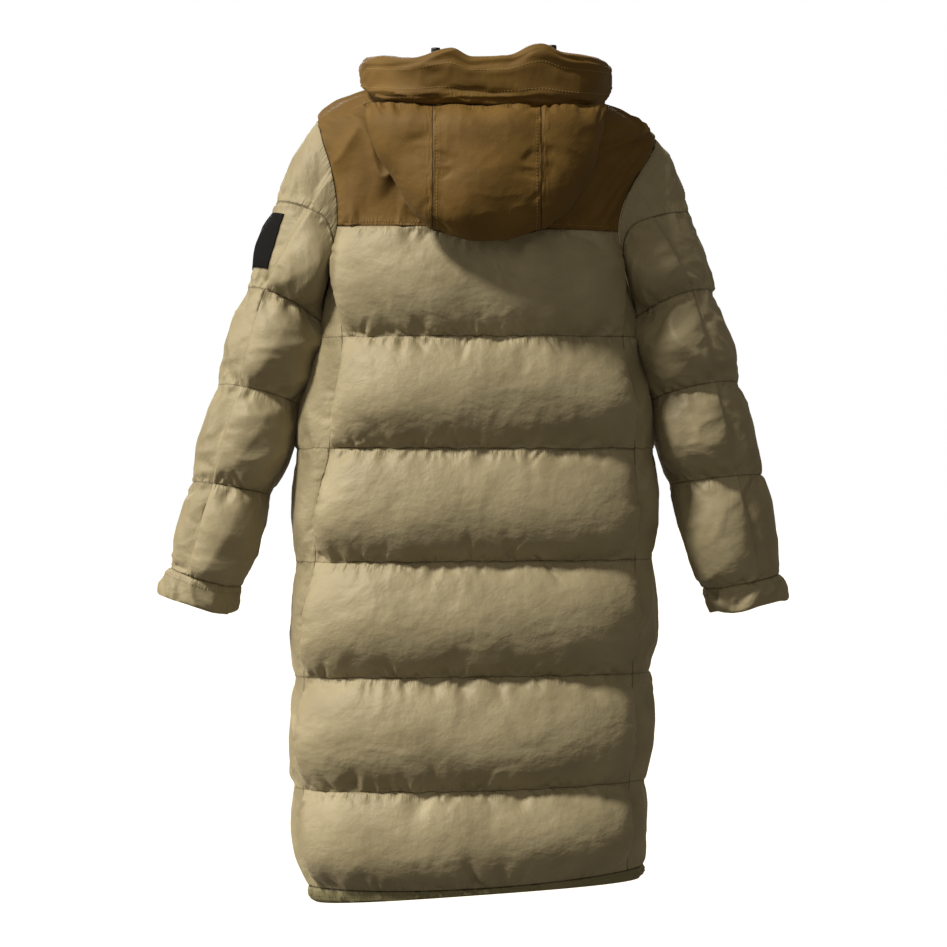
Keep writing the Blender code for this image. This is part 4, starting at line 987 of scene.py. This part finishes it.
# its free edge rises and falls so far, in clouds so wide, and flares in so many waves so high
CUFF_DROOP = (0.0045, 0.035)
CUFF_WAVES = (5, 0.0015)
CUFF_THINNEST = 0.0008
for side, name in ((1, "left"), (-1, "right")):
    turn = np.linspace(0, 360, 121)
    share = np.linspace(0, 1, 18)[:, None]
    rings = 4 + CUFF_GAP + (1 - CUFF_GAP) * share + 0 * turn
    turns = turn + 0 * rings
    surface = lambda at, ring, side=side: sleeve(side, at, ring)
    base = surface(turns, rings)
    out = normals(surface, turns, rings, -side)
    u, v = turns / 360 * CUFF_ROUND, share * CUFF_DEPTH + 0 * turns
    # folds round the cuff repeat after a full turn, so they come from noise on a circle
    circle_u, circle_v = CUFF_RADIUS * np.cos(np.radians(turns)), CUFF_RADIUS * np.sin(np.radians(turns))
    high, lump, fold = CUFF_CRUSH
    crush = high * clouds(circle_u + v, circle_v - v, lump, 7000 + side)
    crush += high * folds(circle_u + 0.6 * v, circle_v, fold, 7010 + side)
    droop = CUFF_DROOP[0] * clouds(circle_u, circle_v, CUFF_DROOP[1], 7020 + side) * share
    flare = CUFF_WAVES[1] * np.sin(np.radians(turns * CUFF_WAVES[0])) * share
    full = CUFF_LOFT * np.sin(np.pi * share) ** 0.5 + flare
    stand = np.maximum(OUTSIDE + full + crush * np.minimum(1, share * 6), CUFF_THINNEST)
    outer = base + out * stand[..., None]
    inner = base - out * INSIDE
    outer[..., 2] += droop
    inner[..., 2] += droop
    cuff = shell(f"cuff_band_{name}", outer, inner, KHAKI, u, v, v, ring=True, every=2)
    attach(cuff, "coat")
    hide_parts(f"cuff_{name}")

# ================================================================ collar
# A low stand collar goes round the neck inside the hood's brim. It is the brown nylon over a thin layer of
# down, sewn to the neck seam and closed by the zip.

COLLAR_TOP_SIDE = 0.058
COLLAR_TOP_BACK = 0.054
COLLAR_TOP_FRONT = 0.046
COLLAR_INSET = 0.0030
COLLAR_LEAN = 0.004
COLLAR_LOFT = 0.004
COLLAR_REACH = 0.9
COLLAR_ROUND = 0.55
COLLAR_TALL = 0.05
COLLAR_PUCKERS = (0.014, 0.02, 0.0016)
COLLAR_COLUMNS = 190


def collar_point(angle, share):
    """Point of the collar: straight up from its seam (share 0) to its top edge (share 1), leaning in."""
    angle, share = np.broadcast_arrays(angle, share)
    foot = torso(angle, neck_height(angle))
    turned = np.radians(angle)
    rise = np.sin(turned)
    drop = np.where(rise > 0, COLLAR_TOP_SIDE - COLLAR_TOP_BACK, COLLAR_TOP_SIDE - COLLAR_TOP_FRONT)
    top = COLLAR_TOP_SIDE - drop * np.abs(rise)
    inward = np.stack([np.cos(turned), rise, 0 * rise], -1) * (COLLAR_INSET + COLLAR_LEAN * share)[..., None]
    point = foot - inward
    point[..., 2] += (top - foot[..., 2]) * share
    return point


COLLAR_PARTS = ((7, FRONT_ACROSS["left"]), (14, BACK_ACROSS), (7, FRONT_ACROSS["right"]))
share = np.linspace(0, 1, COLLAR_COLUMNS)
# its front edges reach over the tape's
reached = COLLAR_REACH * (ramp(share, 0, 0.05) - 1 + ramp(share, 0.95, 1))
angle = round_the_body(COLLAR_PARTS)(NECK_TOP, share) + reached
angle, share = np.broadcast_arrays(angle, np.linspace(0, 1, 22)[:, None])
base = collar_point(angle, share)
out = normals(collar_point, angle, share, 1)
u, v = np.linspace(0, COLLAR_ROUND, COLLAR_COLUMNS) + 0 * share, share * COLLAR_TALL
drawn = puckers(u, (1 - share) * COLLAR_TALL, 7101, *COLLAR_PUCKERS)
full = (COLLAR_LOFT + drawn) * np.sin(np.pi * share)
outer, inner = base + out * (OUTSIDE + full)[..., None], base - out * INSIDE
edge = np.minimum(share, 1 - share) * COLLAR_TALL
stand_collar = shell("stand_collar", outer[::-1], inner[::-1], BROWN, u, v, edge)
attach(stand_collar, "coat")
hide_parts("collar")

# ================================================================ front zip
# A closed coil zip runs down the front between the two panels, from the collar to the hem: a black woven
# tape with moulded teeth, and a cast slider whose pull tab swings on a crosswise pin.

# shares of the way down a tier at which the tape has an edge
TIER_STEPS = (0.0, 0.13, 0.5, 0.87)
TOOTH_PITCH = 0.0042
TOOTH_SIZE = (0.0034, 0.0014, 0.0022)
TOOTH_TIP = (0.8, 1.0, 0.6)
TOOTH_STAGGER = 0.0011
TOOTH_LEVEL = 0.00054
ZIP_TOP_CLEAR = 0.026
ZIP_END_CLEAR = 0.004

# Woven polyester tape: matt and dull black, ribbed across.
tape_black, tree, shader = finish_named("black polyester zip tape, woven", "#17161A", 0.8)
where = add(tree, "ShaderNodeTexCoord").outputs["Object"]
# ribs across the tape every 1.5 mm, drawn coarser than the real 0.6 mm so that they show
rib = add(tree, "ShaderNodeTexWave", {"Vector": where, "Scale": 209.0}, bands_direction="Z").outputs["Fac"]
bump = add(tree, "ShaderNodeBump", {"Height": rib, "Strength": 0.4, "Distance": 0.0004}).outputs["Normal"]
tree.links.new(bump, shader.inputs["Normal"])

# Zinc alloy, die-cast and plated dark: it shines on its edges and is dull in its hollows.
zinc, tree, shader = finish_named("dark plated zinc alloy, die-cast", "#3A3733", 0.32, Metallic=1.0)
where = add(tree, "ShaderNodeTexCoord").outputs["Object"]
wear = add(tree, "ShaderNodeTexNoise", {"Vector": where, "Scale": 900.0, "Detail": 3.0}).outputs["Fac"]
rough = add(tree, "ShaderNodeMapRange", {"Value": wear, "To Min": 0.24, "To Max": 0.46}).outputs[0]
tree.links.new(rough, shader.inputs["Roughness"])

# Acetal, injection-moulded: even and slightly glossy.
acetal, tree, shader = finish_named("black acetal, injection-moulded", "#121214", 0.38)
where = add(tree, "ShaderNodeTexCoord").outputs["Object"]
fine = add(tree, "ShaderNodeTexNoise", {"Vector": where, "Scale": 1500.0, "Detail": 2.0}).outputs["Fac"]
bump = add(tree, "ShaderNodeBump", {"Height": fine, "Strength": 0.08, "Distance": 0.0002}).outputs["Normal"]
tree.links.new(bump, shader.inputs["Normal"])

for node, finish in (
    ("zip_tape", tape_black),
    ("zip_slider", zinc),
    ("zip_pull", zinc),
    ("cord_lock_left", acetal),
    ("cord_lock_right", acetal),
):
    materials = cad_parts[node].data.materials
    materials.clear()
    materials.append(finish)


def facing_out(mesh):
    """Turns every face of a mesh's closed parts outwards."""
    turned = bmesh.new()
    turned.from_mesh(mesh)
    bmesh.ops.recalc_face_normals(turned, faces=turned.faces)
    turned.to_mesh(mesh)
    turned.free()


seams = [neck_height(np.array(270.0)) - GAP, *TIERS["top"], HEM_SEAM]
heights = [top + (bottom - top) * t for top, bottom in zip(seams[:-1], seams[1:]) for t in TIER_STEPS]
heights = np.array([*heights, HEM_SEAM, HEM_EDGE])
line = np.concatenate([collar_point(np.full(5, 270.0), np.linspace(1, 0, 5)), torso(270.0, heights)])
run = run_along(line)
places = np.arange(ZIP_TOP_CLEAR, run[-1] - ZIP_END_CLEAR, TOOTH_PITCH / 2)
centre = np.stack([np.interp(places, run, line[:, n]) for n in range(3)], -1)
heading = np.gradient(centre, axis=0)
heading /= np.linalg.norm(heading, axis=1, keepdims=True)
across = np.array([1.0, 0.0, 0.0])
outward = np.cross(across, heading)
outward *= -np.sign(outward[:, 1:2])
block = np.array([(x, y, z) for x in (-0.5, 0.5) for y in (0, 1) for z in (-0.5, 0.5)])
tooth = block * TOOTH_SIZE * np.where(block[:, 1:2] > 0, TOOTH_TIP, 1)
stagger = TOOTH_STAGGER * (-1.0) ** np.arange(len(places))
points = (
    (centre + outward * TOOTH_LEVEL + stagger[:, None] * across)[:, None]
    + tooth[None, :, :1] * across
    + tooth[None, :, 1:2] * outward[:, None]
    + tooth[None, :, 2:] * heading[:, None]
)
corner = [(0, 1, 3, 2), (4, 6, 7, 5), (0, 4, 5, 1), (2, 3, 7, 6), (0, 2, 6, 4), (1, 5, 7, 3)]
faces = (np.arange(len(places))[:, None, None] * 8 + np.array(corner)).reshape(-1, 4)
mesh = bpy.data.meshes.new("zip_teeth")
mesh.from_pydata(points.reshape(-1, 3).tolist(), [], faces.tolist())
facing_out(mesh)
teeth = as_object("zip_teeth", mesh, acetal)
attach(teeth, "coat")

# ================================================================ hood
# The hood lies on the back as a half-filled pouch: a centre panel that runs down, round the bottom and up
# again, and two side panels sewn to it. It is the brown nylon over down, gathered where it meets the brim.

HOOD_TOP = -0.0100
HOOD_TILT = 0.05
HOOD_BOTTOM = -0.180
HOOD_BOTTOM_BEND = 0.010
HOOD_LEFT_SEAM = 0.0535
HOOD_RIGHT_SEAM = -0.0885
HOOD_LOFT = 0.0035
HOOD_OUTER_ARCH = 0.012
HOOD_UNDER_ARCH = 0.003
HOOD_UNDER_LOFT = 0.25
HOOD_SIDE_LEAN = 0.25
HOOD_END_ROUND = 2.4
HOOD_SEAM_START = 0.0005
HOOD_SEAM_GAP = 0.00006
HOOD_SIDE_END = 0.985
HOOD_WIDE = 0.142
HOOD_TALL = 0.19
HOOD_HOLLOW = -0.0009
HOOD_HOLD = 0.003
MOUTH_GATHERS = ((0.019, 0.018, 0.0075), (0.010, 0.010, 0.0050))
HOOD_PUCKERS = (0.026, 0.022, 0.0062)
HOOD_LUMPS = ((0.0034, 0.055, 3),)
HOOD_FOLDS = ((0.0009, 0.046, 4), (0.0003, 0.018, 8))
HOOD = table(
    "depth middle half left_reach right_reach",
    [
        (0.00, 0.1365, 0.0240, 0.088, 0.086),
        (0.06, 0.1470, 0.0335, 0.085, 0.084),
        (0.16, 0.1540, 0.0385, 0.080, 0.080),
        (0.34, 0.1590, 0.0405, 0.069, 0.072),
        (0.64, 0.1645, 0.0455, 0.043, 0.052),
        (0.82, 0.1655, 0.0500, 0.026, 0.034),
        (0.93, 0.1640, 0.0520, 0.012, 0.014),
        (1.00, 0.1600, 0.0520, 0.002, 0.002),
    ],
)


def hood_layer(x, way, depth):
    """Point of the pouch's outer (way 1) or under (way -1) layer: its middle plus half its thickness."""
    x, way, depth = np.broadcast_arrays(x, way, np.clip(depth, 0, 1))
    middle = (HOOD_LEFT_SEAM + HOOD_RIGHT_SEAM) / 2
    off = np.clip((x - middle) / (HOOD_LEFT_SEAM - middle), -1, 1) ** 2
    arch = HOOD_UNDER_ARCH + (HOOD_OUTER_ARCH - HOOD_UNDER_ARCH) * (way + 1) / 2
    half = along(HOOD, "half", depth) * np.sqrt(1 - depth**HOOD_END_ROUND)
    y = along(HOOD, "middle", depth) + way * half - arch * off
    z = HOOD_TOP + (HOOD_BOTTOM - HOOD_TOP) * depth + HOOD_BOTTOM_BEND * off * depth**4
    return np.stack([x, y, z + HOOD_TILT * np.abs(x - middle) * (1 - depth)], -1)


def hood_strip(share, run):
    """The centre panel: down the under layer (run -1 to 0), round the bottom and up the outer one (to 1)."""
    x = HOOD_LEFT_SEAM - HOOD_SEAM_GAP + (HOOD_RIGHT_SEAM - HOOD_LEFT_SEAM + 2 * HOOD_SEAM_GAP) * share
    return hood_layer(x, np.sign(run), 1 - run**2)


def hood_side(side):
    """A side panel's surface: half an ellipse across, from the outer seam (0) round to the under seam (1)."""
    seam = HOOD_LEFT_SEAM if side == 1 else HOOD_RIGHT_SEAM
    column = "left_reach" if side == 1 else "right_reach"

    def point(across, depth):
        """x goes out from the seam by the reach times a sine, way is the cosine, and y leans in with x."""
        out = along(HOOD, column, depth) * np.sin(np.pi * across)
        found = hood_layer(seam + side * (HOOD_SEAM_GAP + out), np.cos(np.pi * across), depth)
        found[..., 1] -= HOOD_SIDE_LEAN * out
        return found

    return point


def hood_relief(u, v, seam_gap, mouth_gap, seed):
    """Gathers under the brim, puckers along the two long seams, and the soft hollows of a pouch half full."""
    found = puckers(v, seam_gap, seed + 2, *HOOD_PUCKERS)
    for number, sizes in enumerate(MOUTH_GATHERS):
        found += puckers(u, mouth_gap, seed + number, *sizes)
    found += heaped(clouds, u, v, seed, HOOD_LUMPS) + heaped(folds, u, v, seed, HOOD_FOLDS)
    return found * freed(seam_gap, HOOD_HOLD)


def hood_wall(name, base, out, stand, u, v, gap):
    """A panel of the hood, whose outside stands off its surface and is hollow by no more than its wall."""
    outer = base + out * (OUTSIDE + np.maximum(stand, HOOD_HOLLOW))[..., None]
    return shell(name, outer, base - out * INSIDE, BROWN, u, v, gap)


share, run = np.broadcast_arrays(np.linspace(0, 1, 96), np.linspace(-1, 1, 260)[:, None])
base = hood_strip(share, run)
out = normals(hood_strip, share, run, 1)
u, v = share * HOOD_WIDE, run_along(base[:, base.shape[1] // 2])[:, None] + 0 * share
seam_gap = np.minimum(u, HOOD_WIDE - u)
mouth_gap = np.where(run > 0, v.max() - v, 0.2)
flat = np.where(run > 0, 1, HOOD_UNDER_LOFT)
stand = HOOD_LOFT * pinch(share, 3) * flat + hood_relief(u, v, seam_gap, mouth_gap, 8000) * flat
pouch = hood_wall("hood_middle", base, out, stand, u, v, np.minimum(seam_gap, mouth_gap))
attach(pouch, "coat")
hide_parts("hood_centre")

for side, name in ((1, "left"), (-1, "right")):
    surface = hood_side(side)
    across = np.linspace(HOOD_SEAM_START, 1 - HOOD_SEAM_START, 90)
    # the rows lie closer together towards its lower end, where it runs out
    depth = HOOD_SIDE_END * (1 - (1 - np.linspace(0.001, 1, 84)[:, None]) ** 1.6)
    across, depth = np.broadcast_arrays(across, depth)
    base = surface(across, depth)
    out = normals(surface, across, depth, side)
    u = np.cumsum(np.linalg.norm(np.diff(base, axis=1, prepend=base[:, :1]), axis=-1), axis=1)
    v = depth * HOOD_TALL
    seam_gap = np.minimum(u, u[:, -1:] - u)
    flat = np.where(across < 0.5, 1, HOOD_UNDER_LOFT) * (1 - depth**3)
    stand = (HOOD_LOFT * pinch(across, 3) + hood_relief(u, v, seam_gap, v, 8100 + 50 * side)) * flat
    cheek = hood_wall(f"hood_{name}", base, out, stand, u, v, np.minimum(seam_gap, v))
    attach(cheek, "coat")
    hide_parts(f"hood_side_{name}")

# ================================================================ hood brim
# The hood's front edge is rolled back on itself as a thick collar-like band of the brown nylon. It is
# topstitched along its length and creased where it bends round the neck.

BRIM = table(
    "turn bottom top thickness",
    [
        (-76, -0.010, 0.036, 0.020),
        (-50, 0.010, 0.052, 0.026),
        (-15, 0.034, 0.066, 0.031),
        (5, 0.033, 0.067, 0.033),
        (20, 0.017, 0.066, 0.034),
        (35, 0.004, 0.064, 0.036),
        (55, -0.002, 0.058, 0.037),
        (73, -0.004, 0.069, 0.035),
        (83, -0.005, 0.057, 0.034),
        (100, -0.007, 0.059, 0.034),
        (116, -0.009, 0.075, 0.036),
        (126, -0.009, 0.064, 0.036),
        (145, -0.008, 0.061, 0.036),
        (160, 0.001, 0.061, 0.036),
        (175, 0.020, 0.061, 0.033),
        (200, 0.021, 0.059, 0.031),
        (230, 0.004, 0.050, 0.026),
        (256, -0.012, 0.034, 0.020),
    ],
)
BRIM_HALF_WIDTH = 0.1515
BRIM_BACK = 0.150
BRIM_FRONT = 0.122
BRIM_CENTRE_X = -0.0165
BRIM_SQUARENESS = 3.0
BRIM_EDGE = 0.6
BRIM_STEPS = 400
BRIM_AROUND = 73
BRIM_LENGTH = 0.9
BRIM_HALF_TALL = 0.04
# long folds that run with the roll: how high, how far drawn out along it, how wide and which seed
BRIM_FOLDS = ((0.0026, 0.20, 0.019, 8300), (0.0011, 0.30, 0.009, 8310))
BRIM_LUMPS = ((0.0016, 0.060, 0), (0.0004, 0.022, 1))
BRIM_GATHERS = (0.026, 0.012, 0.0030)
# the groove above its lower edge: how deep, at which level and how wide
BRIM_GROOVE = (0.0020, 0.62, 0.09)
BRIM_SEAM = 0.025


def brim_path(turn):
    """Middle of the brim's roll in plan: a superellipse, deeper behind than in front."""
    cosine, sine = np.cos(np.radians(turn)), np.sin(np.radians(turn))
    depth = np.where(sine > 0, BRIM_BACK, BRIM_FRONT)
    power = BRIM_SQUARENESS
    reach = (np.abs(cosine / BRIM_HALF_WIDTH) ** power + np.abs(sine / depth) ** power) ** (-1 / power)
    return np.stack([BRIM_CENTRE_X + reach * cosine, reach * sine], -1)


def brim_point(turn, around, close, swell):
    """Point of the roll: a rounded-box section round the path, closed at its ends and swollen by relief."""
    step = 0.05
    path = brim_path(turn)
    heading = brim_path(turn + step) - brim_path(turn - step)
    heading /= np.linalg.norm(heading, axis=-1, keepdims=True)
    outward = np.stack([heading[..., 1], -heading[..., 0]], -1)
    bottom, top = along(BRIM, "bottom", turn), along(BRIM, "top", turn)
    half_thick = along(BRIM, "thickness", turn) / 2 * close**0.5 + swell
    half_tall = (top - bottom) / 2 * close**0.35 + 0.5 * swell
    thick = np.sign(np.cos(around)) * np.abs(np.cos(around)) ** BRIM_EDGE
    tall = np.sign(np.sin(around)) * np.abs(np.sin(around)) ** BRIM_EDGE
    xy = path + outward * (half_thick * thick)[..., None]
    return np.concatenate([xy, ((top + bottom) / 2 + half_tall * tall)[..., None]], -1)


first, last = BRIM["turn"][[0, -1]]
turn = np.linspace(first, last, BRIM_STEPS)[:, None]
around = np.linspace(0, 2 * np.pi, BRIM_AROUND)
# over the last 4 per cent at each end the roll narrows by a sine, to a small flat end
close = np.minimum(1, np.sin(np.linspace(0.02, np.pi - 0.02, BRIM_STEPS)) * 8)[:, None]
turn, around, close = np.broadcast_arrays(turn, around, close)
u = BRIM_LENGTH * turn / (last - first)
height = np.sin(around) * BRIM_HALF_TALL
v = np.where(np.cos(around) > 0, height, 4 * BRIM_HALF_TALL - height)
swell = sum(high * folds(drawn * u, v, size, seed) for high, drawn, size, seed in BRIM_FOLDS)
swell += heaped(clouds, u, v, 8320, BRIM_LUMPS)
deep, below, wide = BRIM_GROOVE
swell -= deep * np.exp(-(((np.sin(around) + below + 0.1 * clouds(u, 0 * u, 0.06, 8330)) / wide) ** 2))
swell += puckers(u, BRIM_HALF_TALL + height, 8340, *BRIM_GATHERS)
points = brim_point(turn, around, close, swell * close)
outsides["brim"] = points
top = np.arange(BRIM_STEPS * (BRIM_AROUND - 1)).reshape(BRIM_STEPS, -1)
following = np.roll(top, -1, axis=1)
faces = np.stack([top[:-1], following[:-1], following[1:], top[1:]], -1).reshape(-1, 4).tolist()
ends = [top[0].tolist()[::-1], top[-1].tolist()]
mesh = bpy.data.meshes.new("brim")
mesh.from_pydata(points[:, :-1].reshape(-1, 3).tolist(), [], faces + ends)
gap = np.minimum(np.abs(height + BRIM_SEAM), FAR_FROM_SEAM) * 1000 + 2.0
lay_out(mesh, *(part[:, :-1].reshape(-1) for part in (u, v, gap)))
facing_out(mesh)
mesh.shade_smooth()
brim = as_object("brim", mesh, BROWN)
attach(brim, "coat")
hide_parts("hood_brim")

# ================================================================ stitching
# Polyester thread in the cloth's own colour: topstitching along the brim, the yoke, the hood's two long
# seams, the cuffs and the hem, in stitches about 3 mm long that sink a little into the cloth.

STITCH_PITCH = 0.0046
STITCH_SIZE = (0.0031, 0.00075, 0.0007)
STITCH_LIFT = 0.0006
# a stitch's profile in its own lengths and heights: its two ends are let into the cloth
STITCH_PROFILE = ((-0.5, -1.1), (-0.3, 0), (0.3, 0), (0.5, -1.1))
# Twisted polyester thread: matt, and a little lighter than the cloth that it is sewn into.
brown_thread, _, _ = finish_named("brown polyester thread, twisted", "#8E7440", 0.7)
khaki_thread, _, _ = finish_named("khaki polyester thread, twisted", "#8D8468", 0.7)


def stitches(name, lines, finish):
    """Thread along lines on cloth, each line a piece's name and its rows and columns as fractions.

    The stitches are evenly spaced by length along the line, and lie flat on the cloth there.
    """
    places, ways, lifts = [], [], []
    for piece, rows, columns in lines:
        grid = outsides[piece]

        def spot(t, ends=(rows, columns), size=grid.shape):
            """Row and column of the grid a share t of the way along the line."""
            return [(first + (last - first) * t) * (size[n] - 1) for n, (first, last) in enumerate(ends)]

        t = np.linspace(0, 1, 800)
        length = run_along(sampled(grid, *spot(t)))
        at = np.interp(np.arange(STITCH_PITCH, length[-1] - STITCH_PITCH, STITCH_PITCH), length, t)
        row, column = spot(at)
        here = sampled(grid, row, column)
        by_row = sampled(grid, row + 0.5, column) - sampled(grid, row - 0.5, column)
        by_column = sampled(grid, row, column + 0.5) - sampled(grid, row, column - 0.5)
        lift = np.cross(by_row, by_column)
        lift *= np.sign(np.einsum("ij,ij->i", lift, here - grid.reshape(-1, 3).mean(0)))[:, None]
        places.append(here)
        ways.append(by_column if columns[0] != columns[1] else by_row)
        lifts.append(lift)
    places, ways, lifts = (np.concatenate(part) for part in (places, ways, lifts))
    ways /= np.linalg.norm(ways, axis=1, keepdims=True)
    lifts /= np.linalg.norm(lifts, axis=1, keepdims=True)
    # a stitch is a three-sided bar: four pairs of points on top, and one point below each pair
    bar = [(x, y, z) for x, z in STITCH_PROFILE for y in (-0.5, 0.5)]
    bar = np.array(bar + [(x, 0, z - 0.9) for x, z in STITCH_PROFILE]) * STITCH_SIZE
    directions = enumerate((ways, np.cross(ways, lifts), lifts))
    points = places[:, None] + sum(bar[None, :, n : n + 1] * way[:, None] for n, way in directions)
    points += STITCH_LIFT * lifts[:, None]
    faces = [(0, 1, 8), (6, 11, 7)]
    for n in range(3):
        faces += [(2 * n, 2 * n + 2, 2 * n + 3, 2 * n + 1)]
        faces += [(2 * n, 8 + n, 9 + n, 2 * n + 2), (2 * n + 1, 2 * n + 3, 9 + n, 8 + n)]
    mesh = bpy.data.meshes.new(name)
    placed = [[12 * k + n for n in face] for k in range(len(places)) for face in faces]
    mesh.from_pydata(points.reshape(-1, 3).tolist(), [], placed)
    facing_out(mesh)
    sewn = as_object(name, mesh, finish)
    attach(sewn, "coat")


stitches(
    "brown_stitching",
    [
        ("brim", (0.03, 0.97), (0.039, 0.039)),
        ("brim", (0.03, 0.97), (0.962, 0.962)),
        ("yoke_behind", (0.968, 0.968), (0.02, 0.98)),
        ("yoke_left", (0.968, 0.968), (0.02, 0.98)),
        ("yoke_right", (0.968, 0.968), (0.02, 0.98)),
        ("hood_middle", (0.52, 0.98), (0.04, 0.04)),
        ("hood_middle", (0.52, 0.98), (0.96, 0.96)),
        ("stand_collar", (0.92, 0.92), (0.02, 0.98)),
    ],
    brown_thread,
)
stitches(
    "khaki_stitching",
    [
        ("cuff_band_left", (0.20, 0.20), (0.0, 1.0)),
        ("cuff_band_right", (0.20, 0.20), (0.0, 1.0)),
        ("hem", (0.5, 0.5), (0.01, 0.99)),
    ],
    khaki_thread,
)
